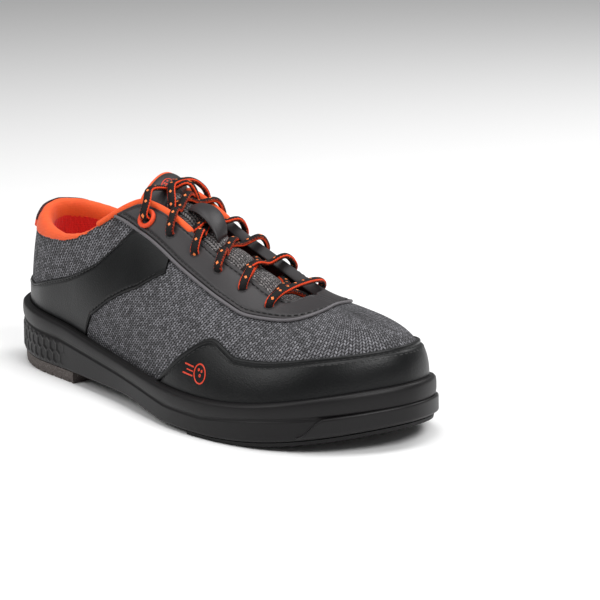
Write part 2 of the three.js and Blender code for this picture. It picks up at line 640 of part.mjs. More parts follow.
// ---- lace ----------------------------------------------------------------------------------
const overStay = OVERLAY_GAP + LEATHER_T + LACE_D / 2 + GAP;
const underFlap = liningTop - LINING_T - 4.1 * GAP - LACE_D / 2;
const onTongue = LACE_D / 2 + 1.6 * GAP;
const second = LACE_D + GAP + 0.2; // rise of a lace that lies on another

// One half of the lace, from the middle of the bar to its end. side is -1 for the half whose
// first hole is lateral. It goes down the first hole, then up each next one, and crosses over.
function laceHalf(side) {
  const on = (s, v, lift, at) => offLast(at < 0 ? s : LOOP - s, v, lift);
  const through = (s, v, at) => [underFlap, -2.4, 0, overStay - 0.5].map((lift) => on(s, v, lift, at));
  const points = [];
  let at = side;
  const [s1, v1] = HOLES[0];
  points.push(on(s1 + 0.02, v1 + 0.07, overStay + 0.5, at), ...through(s1, v1, at).reverse());
  for (let row = 1; row < HOLES.length; row++) {
    const [s0] = HOLES[row - 1];
    const [s, v] = HOLES[row];
    const middle = (s0 + s) / 2;
    const over = side < 0 ? second : 0;
    if (row === 1) {
      points.push(on(s0 - 0.02, v1 + 0.07, underFlap, at));
      points.push(tonguePoint(middle + 0.05, 0.4 * at, onTongue + 0.3));
    } else {
      points.push(on(s0 - 0.04, topline(s0) + 0.03, overStay + 0.4, at));
      points.push(tonguePoint(middle + 0.05, 0.4 * at, onTongue + over / 2 + 1.6));
    }
    points.push(tonguePoint(middle, 0, onTongue + over));
    at = -at;
    points.push(tonguePoint(middle - 0.07, 0.45 * at, onTongue + over / 3));
    points.push(on(s + 0.02, v + 0.045, underFlap, at), ...through(s, v, at));
  }
  const [s6, v6] = HOLES.at(-1);
  points.push(on(s6, v6, overStay + 1.6, at), on(s6 - 0.01, v6 + 0.07, overStay + 2.6, at));
  points.push(on(s6 - 0.08, topline(s6) + 0.07, overStay, at));
  points.push(tonguePoint(4.06, 0, onTongue + (side < 0 ? second : 0)));
  at = -at;
  points.push(tonguePoint(4.14, 0.2 * at, onTongue + 1.8 * second));
  points.push(tonguePoint(4.23, 0.4 * at, onTongue + second + 0.4));
  points.push(on(4.27, 0.74, underFlap - 0.4, at), on(4.29, 0.68, underFlap - 0.8, at));
  return points;
}

function laceAndTips() {
  const [lateral, medial] = [laceHalf(-1), laceHalf(1)];
  const path = [...lateral.slice().reverse(), ...medial];
  add("lace", tube(new THREE.CatmullRomCurve3(path, false, "centripetal"), LACE_D / 2, 156), COLOUR.orange);
  for (const [name, points] of [["lateral", medial], ["medial", lateral]]) {
    const [before, end] = points.slice(-2);
    const run = end.clone().sub(before).normalize();
    const start = end.clone().addScaledVector(run, GAP);
    const line = new THREE.LineCurve3(start, start.clone().addScaledVector(run, AGLET_L));
    add("aglet_" + name, tube(line, AGLET_D / 2, 1), COLOUR.orange, 0.3);
  }
}

// Corded ring and washer round the topmost hole on each side.
function rings() {
  const [s, v] = HOLES.at(-1);
  const lift = OVERLAY_GAP + LEATHER_T + GAP;
  const circle = range(6, 0, 2 * Math.PI).map((a) => new THREE.Vector2(
    RING_R + RING_CORD * Math.cos(a), lift + RING_CORD + RING_CORD * Math.sin(a),
  ));
  const washer = [[1.4, 0], [2.4, 0], [2.4, 0.6], [1.4, 0.6], [1.4, 0]].map(([r, z]) => new THREE.Vector2(
    HOLE_D / 2 + r, liningTop - LINING_T - 2.5 * GAP - 0.6 + z,
  ));
  for (const [name, u] of [["lateral", s], ["medial", LOOP - s]]) {
    const turn = new THREE.Quaternion().setFromUnitVectors(new THREE.Vector3(0, 1, 0), lastNormal(u, v));
    const place = new THREE.Matrix4().compose(lastPoint(u, v), turn, new THREE.Vector3(1, 1, 1));
    add("eyelet_ring_" + name, new THREE.LatheGeometry(circle, 12).applyMatrix4(place), COLOUR.orange);
    add("washer_" + name, new THREE.LatheGeometry(washer, 12).applyMatrix4(place), COLOUR.steel, 0.4, 0.8);
  }
}

const tools = holeTools();
sole();
upperShells(tools);
stiffeners();
collar();
overlays(tools);
tongue();
laceAndTips();
rings();

// The frame's origin is the middle of the whole shoe's footprint, on the ground.
const whole = new THREE.Box3().setFromObject(group);
const middle = whole.getCenter(new THREE.Vector3());
group.position.set(-middle.x, -middle.y, -whole.min.z);

export default group;
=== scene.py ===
"""A lace-up bowling shoe for the right foot: every visible piece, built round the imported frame.

Lengths in this file are millimetres in the shoe's own coordinates, where x runs from 0 at the
heel to 300 at the toe, y grows towards the other foot and z up. to_frame() turns them into
metres of the frame.
"""
import logging
import math
from dataclasses import dataclass
from enum import Enum
from typing import Callable, Sequence

import bmesh
import bpy
import numpy as np
from mathutils import Matrix, Vector


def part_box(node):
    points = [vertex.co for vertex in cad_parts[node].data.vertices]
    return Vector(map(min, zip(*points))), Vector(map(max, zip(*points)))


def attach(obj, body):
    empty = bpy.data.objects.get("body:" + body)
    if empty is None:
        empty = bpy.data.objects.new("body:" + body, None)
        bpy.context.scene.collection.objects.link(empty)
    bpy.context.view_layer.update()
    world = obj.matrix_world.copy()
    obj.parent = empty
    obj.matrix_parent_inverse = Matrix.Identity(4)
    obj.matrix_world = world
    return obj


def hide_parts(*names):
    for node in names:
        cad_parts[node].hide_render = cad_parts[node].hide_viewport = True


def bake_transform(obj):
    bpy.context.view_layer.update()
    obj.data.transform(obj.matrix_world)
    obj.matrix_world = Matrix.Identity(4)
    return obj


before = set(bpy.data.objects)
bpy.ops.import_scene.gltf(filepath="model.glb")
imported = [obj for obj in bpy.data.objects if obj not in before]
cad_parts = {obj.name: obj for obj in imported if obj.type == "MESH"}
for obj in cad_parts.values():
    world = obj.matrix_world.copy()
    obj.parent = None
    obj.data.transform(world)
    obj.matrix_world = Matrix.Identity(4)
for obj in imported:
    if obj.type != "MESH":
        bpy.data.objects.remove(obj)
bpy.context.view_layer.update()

LOG = logging.getLogger("bowling_shoe")
Array = np.ndarray
Line = Callable[[Array], Array]
Sockets = dict[str, bpy.types.NodeSocket]
MM = 1000.0  # millimetres in a metre

# ---- sizes shared with the solid model, in millimetres ----
LENGTH = 300.0
GAP = 0.4
MESH_T = 1.2
LEATHER_T = 1.2
LINING_T = 1.0
STIFFENER_T = 0.8
COLLAR_T = 5.0
SOLE_WALL = 2.5
INSET = SOLE_WALL + 2 * GAP + LEATHER_T + 0.7
FEATHER_DEPTH = 5.0
HEM = -0.1
HEM_DEPTH = 4.5
LACE_D = 2.6
TONGUE_T = 3.5
TONGUE_EXTRA = 17.0
HEEL_PAD_T = 6.4
SOLE_PAD_T = 1.9
WAIST_RISE = 6.6
TOE_SPRING = 10.5
SPRING_START = 215.0
TOE = 9.0
LOOP = 18.0
STATION_L = 50.0  # one station along the throat
LINING_TOP = -(MESH_T + STIFFENER_T + 2 * GAP)
TONGUE_DEPTH = -(MESH_T + STIFFENER_T + LINING_T + 4 * GAP + LACE_D + 1.9)

OUTLINE_LATERAL = [(0, 0), (8.5, -21.5), (37, -36), (78, -41), (127, -47),
                   (192, -58.5), (239, -55), (271, -40.5), (291.5, -17), (299.7, 12)]
OUTLINE_MEDIAL = [(0, 0), (8.5, 21.5), (36, 36), (72, 35.5), (112, 34),
                  (156, 41), (206, 51), (243, 51.5), (283, 40), (299.7, 12)]
# x, half gap, height and middle of the throat line, the two handles of the wall's curve, the
# wall's lean and its roll-over, at each station from the heel to the toe.
THROAT = [(20, 0, 106, 0, 26, 30, 0, 72), (25, 12, 106, 0, 26, 30, 0, 72),
          (41, 23, 106, 0, 27, 30, 0.02, 74), (76, 25, 112, 0, 32, 30, 0.04, 70),
          (118, 6, 117, 2, 32, 30, 0.05, 38), (171, 0, 93, 5, 26, 34, 0.05, 15),
          (216, 0, 69, 7, 20, 38, 0.08, 6), (240, 0, 63.5, 8.5, 19, 38, 0.12, 5),
          (252, 0, 61.5, 9, 19, 35, 0.12, 5), (258, 0, 60.5, 9.5, 19, 33, 0.1, 5)]
LIP_X = (0, 60, 125, 190, 240, 300)
LIP_Z = (35.5, 32.5, 24.5, 20.5, 22, 32)

# Pattern lines: station and surface height, from 0 at the sole to 1 at the throat's ridge.
TOPLINE = [(0, 0.72), (1, 0.7), (2, 0.65), (2.9, 0.6), (3.28, 0.665), (3.6, 0.73), (3.93, 0.8),
           (4.29, 0.8), (4.61, 0.79), (5.02, 0.775), (5.52, 0.8), (5.91, 0.815), (6.15, 0.85),
           (6.3, 0.92), (6.4, 1), (9, 1)]
STAY_EDGE = [(3.5, 0.745), (3.61, 0.725), (3.97, 0.66), (4.61, 0.61), (5.18, 0.59), (5.64, 0.6),
             (5.92, 0.65), (6.16, 0.685), (6.42, 0.72), (6.7, 0.78), (6.95, 0.86), (7.1, 0.93),
             (7.18, 1)]
PANEL_TOP = [(0, 0.23), (1.77, 0.235), (2.85, 0.36), (3.48, 0.48), (3.97, 0.64), (4.61, 0.6), (5, 0.6)]
PANEL_FRONT = [(3.2, 0), (3.3, 0.1), (3.39, 0.18), (3.72, 0.29), (4.18, 0.41), (4.61, 0.59)]
GUARD_TOP = [(4.5, 0), (4.57, 0.02), (4.97, 0.25), (5.28, 0.385), (5.41, 0.415), (5.57, 0.395),
             (5.75, 0.37), (6.02, 0.385), (6.56, 0.41), (7.2, 0.44), (7.89, 0.46), (8.5, 0.485),
             (9, 0.495)]
HOLES = [(5.93, 0.74), (5.49, 0.72), (5.11, 0.71), (4.77, 0.71), (4.43, 0.715), (4.1, 0.725)]


class Side(Enum):
    """The two sides of the shoe."""

    LATERAL = -1
    MEDIAL = 1


# ---- arithmetic on whole arrays ----
def smooth(x: Array | float) -> Array:
    """Smooth step: 3t^2 - 2t^3 of x held between 0 and 1."""
    t = np.clip(x, 0.0, 1.0)
    return t * t * (3 - 2 * t)


def unit(v: Array) -> Array:
    """Vectors divided by their length."""
    return v / np.maximum(np.linalg.norm(v, axis=-1, keepdims=True), 1e-12)


def catmull(p0: Array, p1: Array, p2: Array, p3: Array, t: Array) -> Array:
    """Catmull-Rom value between p1 and p2 at share t."""
    return 0.5 * (2 * p1 + (p2 - p0) * t + (2 * p0 - 5 * p1 + 4 * p2 - p3) * t**2
                  + (3 * p1 - p0 - 3 * p2 + p3) * t**3)


def on_loop(rows: Array, u: Array) -> Array:
    """Smooth value of a closed table of rows at the real index u.

    Args:
        rows: Closed table with one row for each station.
        u: Real index into the table.

    Returns:
        One row for each u.
    """
    u = np.asarray(u, float)
    n = len(rows)
    i = np.floor(u).astype(int)
    t = (u - i)[..., None]
    return catmull(rows[(i - 1) % n], rows[i % n], rows[(i + 1) % n], rows[(i + 2) % n], t)


def mirrored(u: Array) -> Array:
    """Station on the lateral side that matches station u of either side."""
    at = np.mod(u, LOOP)
    return np.where(at > TOE, LOOP - at, at)


def pattern(pairs: Sequence[tuple[float, float]]) -> Line:
    """Height of a pattern line as a function of the station, the same on both sides.

    The corners of the line are eased by the mean of five places 0.03 of a station apart.

    Args:
        pairs: Stations and heights of the line's corners.

    Returns:
        The line as a function.
    """
    x, y = np.array(pairs, float).T
    places = (-0.06, -0.03, 0, 0.03, 0.06)
    return lambda u: np.mean([np.interp(mirrored(u + d), x, y) for d in places], axis=0)


stay_edge, panel_top, guard_top = (pattern(p) for p in (STAY_EDGE, PANEL_TOP, GUARD_TOP))


def topline(u: Array) -> Array:
    """Height of the shoe's opening; its lowest point, at station 2.9, is eased over a wider stretch.

    Args:
        u: Stations.

    Returns:
        Surface heights.
    """
    x, y = np.array(TOPLINE, float).T
    at = mirrored(u)
    reach = 0.03 + 0.14 * np.exp(-((at - 2.95) / 0.45)**2)
    return np.mean([np.interp(np.abs(at + k * reach), x, y) for k in (-2, -1, 0, 1, 2)], axis=0)


def _loops() -> tuple[Array, Array]:
    """Closed tables of the sole's outline and of the throat, 18 stations each.

    Returns:
        The outline's and the throat's table.
    """
    outline_rows = np.array(OUTLINE_LATERAL + OUTLINE_MEDIAL[1:9][::-1], float)
    rows = {side: [(x, side * half + mid, z, *rest) for x, half, z, mid, *rest in THROAT] for side in (-1, 1)}
    return outline_rows, np.array(rows[-1] + rows[1][1:9][::-1], float)


OUTLINE, THROAT_LOOP = _loops()


def lip_z(x: Array) -> Array:
    """Height of the cupsole's rim at x.

    Args:
        x: Places along the shoe.

    Returns:
        Heights.
    """
    t = np.interp(np.clip(x, 0, LENGTH), LIP_X, np.arange(6.0))
    i = np.minimum(np.floor(t).astype(int), 4)
    z = np.array([2 * LIP_Z[0] - LIP_Z[1], *LIP_Z, 2 * LIP_Z[5] - LIP_Z[4]])
    return catmull(z[i], z[i + 1], z[i + 2], z[i + 3], t - i)


def outline(u: Array, inset: Array | float = 0.0) -> Array:
    """Point of the sole's outline at station u, moved inwards by inset; the last axis is x, y.

    Args:
        u: Stations.
        inset: Distance inside the outline.

    Returns:
        (..., 2) points.
    """
    u = np.asarray(u, float)
    run = unit(on_loop(OUTLINE, u + 0.01) - on_loop(OUTLINE, u - 0.01))
    away = np.stack([-run[..., 1], run[..., 0]], -1)
    return on_loop(OUTLINE, u) + away * np.asarray(inset)[..., None]


def last_point(u: Array, v: Array) -> Array:
    """Point of the upper's outer surface: a cubic curve from the feather line to the throat.

    Args:
        u: Stations.
        v: Surface heights.

    Returns:
        (..., 3) points.
    """
    u, v = np.broadcast_arrays(np.asarray(u, float), np.asarray(v, float))
    p = outline(u, INSET)
    e = outline(u, INSET - 1)
    row = on_loop(THROAT_LOOP, u)
    top = row[..., :3].copy()
    low, high, lean = row[..., 3:4], row[..., 4:5], row[..., 5:6]
    angle = np.radians(row[..., 6:7])
    foot = np.concatenate([p, (lip_z(p[..., 0]) - FEATHER_DEPTH)[..., None]], -1)
    out = np.concatenate([e - p, np.zeros_like(p[..., :1])], -1)
    up = np.array([0.0, 0.0, 1.0])
    p1 = foot + up * low + out * low * lean
    away = (foot - top) * [1, 1, 0]
    p2 = top + unit(away) * high * np.cos(angle) - up * high * np.sin(angle)
    t = np.clip(v, 0, 1)[..., None]
    body = (1 - t)**3 * foot + 3 * (1 - t)**2 * t * p1 + 3 * (1 - t) * t**2 * p2 + t**3 * top
    return body + up * (np.minimum(v, 0)[..., None] / -HEM) * HEM_DEPTH


def _raw_normal(u: Array, v: Array) -> Array:
    """Cross product of the surface's two directions.

    Args:
        u: Stations.
        v: Surface heights.

    Returns:
        Unit vectors.
    """
    du = last_point(u + 0.02, v) - last_point(u - 0.02, v)
    dv = last_point(u, v + 0.01) - last_point(u, v - 0.01)
    return unit(np.cross(du, dv))


def last_normal(u: Array, v: Array) -> Array:
    """Outward normal; on the ridge, where both sides meet, it is the mean of theirs.

    Args:
        u: Stations.
        v: Surface heights.

    Returns:
        Unit vectors.
    """
    u, v = np.broadcast_arrays(np.asarray(u, float), np.asarray(v, float))
    inside = np.clip(v, 0.012, 0.975)
    n = _raw_normal(u, inside)
    share = (np.clip(v - 0.9, 0, 0.1) * 10)[..., None]
    return unit(n * (1 - share) + (n + _raw_normal(LOOP - u, inside)) * 0.5 * share)


def off_last(u: Array, v: Array, depth: Array | float) -> Array:
    """Point at a height over the upper's outer surface; a negative depth lies inside."""
    return last_point(u, v) + last_normal(u, v) * np.asarray(depth, float)[..., None]


def rise_at(u: Array, v: Array) -> Array:
    """Direction in which the surface climbs from the sole to the throat."""
    return unit(last_point(u, v) - last_point(u, v - 0.01))


def mm_per_v(u: Array, v: Array) -> Array:
    """Millimetres of surface for one unit of surface height."""
    return np.linalg.norm(last_point(u, v + 0.01) - last_point(u, v - 0.01), axis=-1) / 0.02


# ---- the sole's heights ----
def spring(x: Array) -> Array:
    """Rise of the underside towards the toe."""
    return np.clip((x - SPRING_START) / (LENGTH - SPRING_START), 0, 1)**2 * TOE_SPRING


def rim_bottom(x: Array) -> Array:
    """Lower edge of the cupsole's wall.

    Args:
        x: Places along the shoe.

    Returns:
        Heights.
    """
    heel, front = HEEL_PAD_T + GAP, SOLE_PAD_T + GAP
    waist = smooth((x - 85) / 20)
    fore = smooth((x - 135) / 52)
    return heel + (WAIST_RISE - heel) * waist + (front - WAIST_RISE) * fore + spring(x)


def board_top(x: Array) -> Array:
    """Top of the insole board."""
    return lip_z(x) - FEATHER_DEPTH - HEM_DEPTH - GAP - 0.3


# ---- meshes ----
def _shift() -> Array:
    """Where the shoe's own origin lies in the frame, in millimetres, from the cupsole's box.

    Returns:
        The offset.
    """
    low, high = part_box("cupsole")
    stations = np.arange(31) * 0.3
    y = np.concatenate([on_loop(OUTLINE, stations), on_loop(OUTLINE, LOOP - stations)])[:, 1]
    return np.array([low.x * MM, (low.y + high.y) / 2 * MM - (y.min() + y.max()) / 2, 0.0])


SHIFT = _shift()


def to_frame(points: Array) -> Array:
    """Shoe millimetres to frame metres."""
    return (points + SHIFT) / MM


@dataclass
class Sheet:
    """Grid surface with thickness: outer and inner points, UV in millimetres, and its open edges."""

    outer: Array
    inner: Array
    uv: Array | None = None
    start: bool = True
    end: bool = True
    low: bool = True
    high: Array | bool = True

    def faces(self) -> tuple[Array, Array, Array]:
        """Vertices, quads and UV of the closed shell.

        Returns:
            Points (n, 3), quads (m, 4) and UV (n, 2), outer grid first.
        """
        n, m = self.outer.shape[:2]
        index = np.arange(n * m).reshape(n, m)
        inside = index + n * m
        a, b, c, d = index[:-1, :-1], index[1:, :-1], index[1:, 1:], index[:-1, 1:]
        e, f, g, h = inside[:-1, :-1], inside[1:, :-1], inside[1:, 1:], inside[:-1, 1:]
        quads = [np.stack([a, b, c, d], -1).reshape(-1, 4), np.stack([e, h, g, f], -1).reshape(-1, 4)]
        if self.low:
            quads.append(np.stack([index[:-1, 0], inside[:-1, 0], inside[1:, 0], index[1:, 0]], -1))
        high = np.broadcast_to(np.asarray(self.high), (n - 1,))
        wall = np.stack([index[1:, -1], inside[1:, -1], inside[:-1, -1], index[:-1, -1]], -1)
        quads.append(wall[high])
        if self.start:
            quads.append(np.stack([index[0, 1:], inside[0, 1:], inside[0, :-1], index[0, :-1]], -1))
        if self.end:
            quads.append(np.stack([index[-1, :-1], inside[-1, :-1], inside[-1, 1:], index[-1, 1:]], -1))
        uv = self.uv if self.uv is not None else arc_uv(self.outer)
        points = np.concatenate([self.outer.reshape(-1, 3), self.inner.reshape(-1, 3)])
        flat = uv.reshape(-1, 2)
        return points, np.concatenate(quads), np.concatenate([flat, flat])


def arc_uv(grid: Array) -> Array:
    """UV in millimetres: arc length of the middle row along the columns, and of each column.

    Args:
        grid: (columns, rows, 3) points.

    Returns:
        (columns, rows, 2) coordinates.
    """
    middle = grid[:, grid.shape[1] // 2]
    along = np.concatenate([[0], np.cumsum(np.linalg.norm(np.diff(middle, axis=0), axis=1))])
    steps = np.linalg.norm(np.diff(grid, axis=1), axis=2)
    across = np.concatenate([np.zeros((len(grid), 1)), np.cumsum(steps, axis=1)], axis=1)
    return np.stack([np.broadcast_to(along[:, None], across.shape), across], -1)


def new_mesh(name: str, points: Array, quads: Array, uv: Array | None = None, weld: float = 2e-6,
             crease: float = 40.0) -> bpy.types.Object:
    """Object from arrays, with its doubles merged, faces outwards and smooth shading.

    Args:
        name: The piece's name.
        points: Vertices in shoe millimetres.
        quads: Vertex indices, four to a face.
        uv: One UV pair for each vertex, in millimetres.
        weld: Distance in metres under which two vertices are joined.
        crease: Edges sharper than this many degrees stay sharp.

    Returns:
        The linked object.
    """
    mesh = bpy.data.meshes.new(name)
    mesh.from_pydata(to_frame(points), [], quads.tolist())
    if uv is not None:
        layer = mesh.uv_layers.new(name="UVMap")
        corner = np.zeros(len(mesh.loops), np.int32)
        mesh.loops.foreach_get("vertex_index", corner)
        layer.data.foreach_set("uv", (uv[corner] / MM).astype(np.float32).ravel())
    work = bmesh.new()
    work.from_mesh(mesh)
    bmesh.ops.remove_doubles(work, verts=work.verts, dist=weld)
    bmesh.ops.dissolve_degenerate(work, edges=work.edges, dist=weld)
    work.to_mesh(mesh)
    work.free()
    mesh.polygons.foreach_set("use_smooth", np.ones(len(mesh.polygons), bool))
    mesh.set_sharp_from_angle(angle=math.radians(crease))
    obj = bpy.data.objects.new(name, mesh)
    bpy.context.scene.collection.objects.link(obj)
    return obj


def join_shells(shells: Sequence[tuple[Array, Array, Array]]) -> tuple[Array, Array, Array]:
    """Several (points, quads, uv) triples as one.

    Args:
        shells: Triples as tube_shell() returns.

    Returns:
        Points, quads and UV.
    """
    starts = np.cumsum([0] + [len(p) for p, _, _ in shells[:-1]])
    points = np.concatenate([p for p, _, _ in shells])
    quads = np.concatenate([q + s for (_, q, _), s in zip(shells, starts)])
    return points, quads, np.concatenate([t for _, _, t in shells])


def tube_shell(path: Array, radius: Array | float, sides: int = 10, normal: Array | None = None,
               flat: float = 1.0, closed: bool = False) -> tuple[Array, Array, Array]:
    """Tube along a path with rounded ends.

    Point = path + radius * (cos a * side + flat * sin a * normal). At each open end the radius
    falls to nothing over three extra rings on a quarter circle.

    Args:
        path: (n, 3) points.
        radius: One radius or one for each point; half the width of a flat cord.
        sides: Corners of the section.
        normal: Direction of the thin side at each point; up where it is left out.
        flat: Thickness as a share of the width.
        closed: Whether the path is a ring.

    Returns:
        Points, quads and UV; V runs once round the section and U is the length in millimetres.
    """
    radius = np.broadcast_to(np.asarray(radius, float), (len(path),)).copy()
    if normal is None:
        normal = np.broadcast_to(np.array([0.0, 0.0, 1.0]), path.shape)
    if closed:
        tangent = unit(np.roll(path, -1, 0) - np.roll(path, 1, 0))
    else:
        tangent = unit(np.gradient(path, axis=0))
        ends = []
        for i, sign in ((0, -1.0), (-1, 1.0)):
            a = np.radians([25, 50, 75, 89])
            ring = path[i] + sign * tangent[i] * (np.sin(a) * radius[i] * flat)[:, None]
            size = radius[i] * np.cos(a)
            ends.append((ring, size) if sign > 0 else (ring[::-1], size[::-1]))
        path = np.concatenate([ends[0][0], path, ends[1][0]])
        radius = np.concatenate([ends[0][1], radius, ends[1][1]])
        repeat = np.concatenate([np.zeros(4, int), np.arange(len(tangent)), np.full(4, len(tangent) - 1)])
        tangent, normal = tangent[repeat], normal[repeat]
    side = unit(np.cross(tangent, normal))
    up = np.cross(side, tangent)
    a = np.linspace(0, 2 * np.pi, sides, endpoint=False)
    ring = np.cos(a)[None, :, None] * side[:, None] + flat * np.sin(a)[None, :, None] * up[:, None]
    grid = path[:, None] + radius[:, None, None] * ring
    n = len(path)
    index = np.arange(n * sides).reshape(n, sides)
    after = np.roll(index, -1, 0) if closed else index[1:]
    here = index if closed else index[:-1]
    quads = np.stack([here, np.roll(here, -1, 1), np.roll(after, -1, 1), after], -1).reshape(-1, 4)
    if not closed:
        half = sides // 2
        j = np.arange(half - 1)
        cap = np.stack([index[0, j], index[0, sides - 1 - j], index[0, sides - 2 - j], index[0, j + 1]], -1)
        last = index[-1]
        back = np.stack([last[j], last[j + 1], last[sides - 2 - j], last[sides - 1 - j]], -1)
        quads = np.concatenate([quads, cap, back])
    along = np.concatenate([[0], np.cumsum(np.linalg.norm(np.diff(path, axis=0), axis=1))])
    uv = np.stack(np.broadcast_arrays(along[:, None], np.arange(sides)[None] * MM / sides), -1)
    return grid.reshape(-1, 3), quads, uv.reshape(-1, 2)


AIR_PRESSURE = 4.0
AIR_FRAMES = 20
RELAX_ROUNDS = 3


def swell(obj: bpy.types.Object, voxel_mm: float, cap_mm: float,
          axes: tuple[Array, Array] | None = None) -> None:
    """Fills a padded piece by a short cloth simulation with air pressure and no gravity.

    The piece is remeshed evenly, blown up over 20 frames, and every point's movement is capped:
    new place = old place + step * min(1, cap / length of step). The skin is then relaxed and
    subdivided once.

    Args:
        obj: The closed piece.
        voxel_mm: Size of the even mesh.
        cap_mm: Most that a point may move.
        axes: Two directions whose coordinates become the UV, where the finish needs one.
    """
    scene = bpy.context.scene
    remesh = obj.modifiers.new("even", "REMESH")
    remesh.mode, remesh.voxel_size, remesh.use_smooth_shade = "VOXEL", voxel_mm / MM, True
    bake_modifiers(obj)
    start = vertex_places(obj)
    cloth = obj.modifiers.new("air", "CLOTH")
    cloth.settings.use_pressure = True
    cloth.settings.uniform_pressure_force = AIR_PRESSURE
    cloth.settings.effector_weights.gravity = 0.0
    for number in range(1, AIR_FRAMES + 1):
        scene.frame_set(number)
    bake_modifiers(obj)
    scene.frame_set(1)
    step = vertex_places(obj) - start
    length = np.linalg.norm(step, axis=1, keepdims=True)
    place = start + step * np.minimum(1, cap_mm / MM / np.maximum(length, 1e-9))
    obj.data.vertices.foreach_set("co", place.astype(np.float32).ravel())
    work = bmesh.new()
    work.from_mesh(obj.data)
    for _ in range(RELAX_ROUNDS):
        bmesh.ops.smooth_vert(work, verts=work.verts, factor=0.5, use_axis_x=True, use_axis_y=True,
                              use_axis_z=True)
    work.to_mesh(obj.data)
    work.free()
    finer = obj.modifiers.new("finer", "SUBSURF")
    finer.levels = finer.render_levels = 1
    bake_modifiers(obj)
    obj.data.polygons.foreach_set("use_smooth", np.ones(len(obj.data.polygons), bool))
    if axes:
        place = vertex_places(obj)
        uv = np.stack([place @ axes[0], place @ axes[1]], -1)
        corner = np.zeros(len(obj.data.loops), np.int32)
        obj.data.loops.foreach_get("vertex_index", corner)
        obj.data.uv_layers.new(name="UVMap").data.foreach_set("uv", uv[corner].astype(np.float32).ravel())
    LOG.info("%s swollen: most movement %.2f mm", obj.name, length.max() * MM)


def vertex_places(obj: bpy.types.Object) -> Array:
    """Vertex coordinates of an object's mesh, in metres.

    Args:
        obj: The object.

    Returns:
        (n, 3) coordinates.
    """
    out = np.zeros(len(obj.data.vertices) * 3, np.float32)
    obj.data.vertices.foreach_get("co", out)
    return out.reshape(-1, 3).astype(float)


def bake_modifiers(obj: bpy.types.Object) -> None:
    """Replaces an object's mesh by the result of its modifiers.

    Args:
        obj: The object.
    """
    bpy.context.view_layer.update()
    made = bpy.data.meshes.new_from_object(obj.evaluated_get(bpy.context.evaluated_depsgraph_get()))
    obj.modifiers.clear()
    old, obj.data = obj.data, made
    bpy.data.meshes.remove(old)


def resample(path: Array, step: float) -> Array:
    """Points at even distances along a polyline, its ends included.

    Args:
        path: (n, k) points, of which every column is spread evenly.
        step: Wished distance between points.

    Returns:
        (m, k) points.
    """
    along = np.concatenate([[0], np.cumsum(np.linalg.norm(np.diff(path, axis=0), axis=1))])
    at = np.linspace(0, along[-1], max(int(round(along[-1] / step)), 1) + 1)
    return np.stack([np.interp(at, along, path[:, k]) for k in range(path.shape[1])], -1)


def centripetal(points: Array, per_span: int = 12) -> Array:
    """Centripetal Catmull-Rom curve through points, as a dense polyline.

    Args:
        points: (n, 3) points that the curve passes.
        per_span: New points between two given ones.

    Returns:
        (m, 3) points.
    """
    ext = np.concatenate([[2 * points[0] - points[1]], points, [2 * points[-1] - points[-2]]])
    d = np.maximum(np.linalg.norm(np.diff(ext, axis=0), axis=1)**0.5, 1e-4)
    d0, d1, d2 = d[:-2, None], d[1:-1, None], d[2:, None]
    p0, p1, p2, p3 = ext[:-3], ext[1:-2], ext[2:-1], ext[3:]
    t1 = ((p1 - p0) / d0 - (p2 - p0) / (d0 + d1) + (p2 - p1) / d1) * d1
    t2 = ((p2 - p1) / d1 - (p3 - p1) / (d1 + d2) + (p3 - p2) / d2) * d1
    t = np.linspace(0, 1, per_span, endpoint=False)[None, :, None]
    p1, p2, t1, t2 = (x[:, None] for x in (p1, p2, t1, t2))
    c = p1 + t1 * t + (-3 * p1 + 3 * p2 - 2 * t1 - t2) * t**2 + (2 * p1 - 2 * p2 + t1 + t2) * t**3
    return np.concatenate([c.reshape(-1, 3), points[-1:]])


# Distances in millimetres from a cut edge at which its rows of vertices lie.
EDGE = np.array([0.0, 0.1, 0.25, 0.5, 0.85, 1.3, 1.8, 2.3, 2.8, 3.5])
MM_PER_STATION = 28.0  # a usual distance between stations along the side


def graded(extent: Array, count: int) -> Array:
    """Shares from 0 to 1 with rows at EDGE millimetres from both ends and even ones between.

    Args:
        extent: Width of the patch in millimetres at each column.
        count: Number of even spaces in the middle.

    Returns:
        (columns, rows) shares.
    """
    extent = np.maximum(np.atleast_1d(extent), 1e-3)[:, None]
    edge = EDGE[None] * np.minimum(1, extent / (2.4 * EDGE[-1])) / extent
    first = edge[:, -1:]
    middle = first + (1 - 2 * first) * np.linspace(0, 1, count + 1)[None, 1:-1]
    return np.concatenate([edge, middle, 1 - edge[:, ::-1]], axis=1)


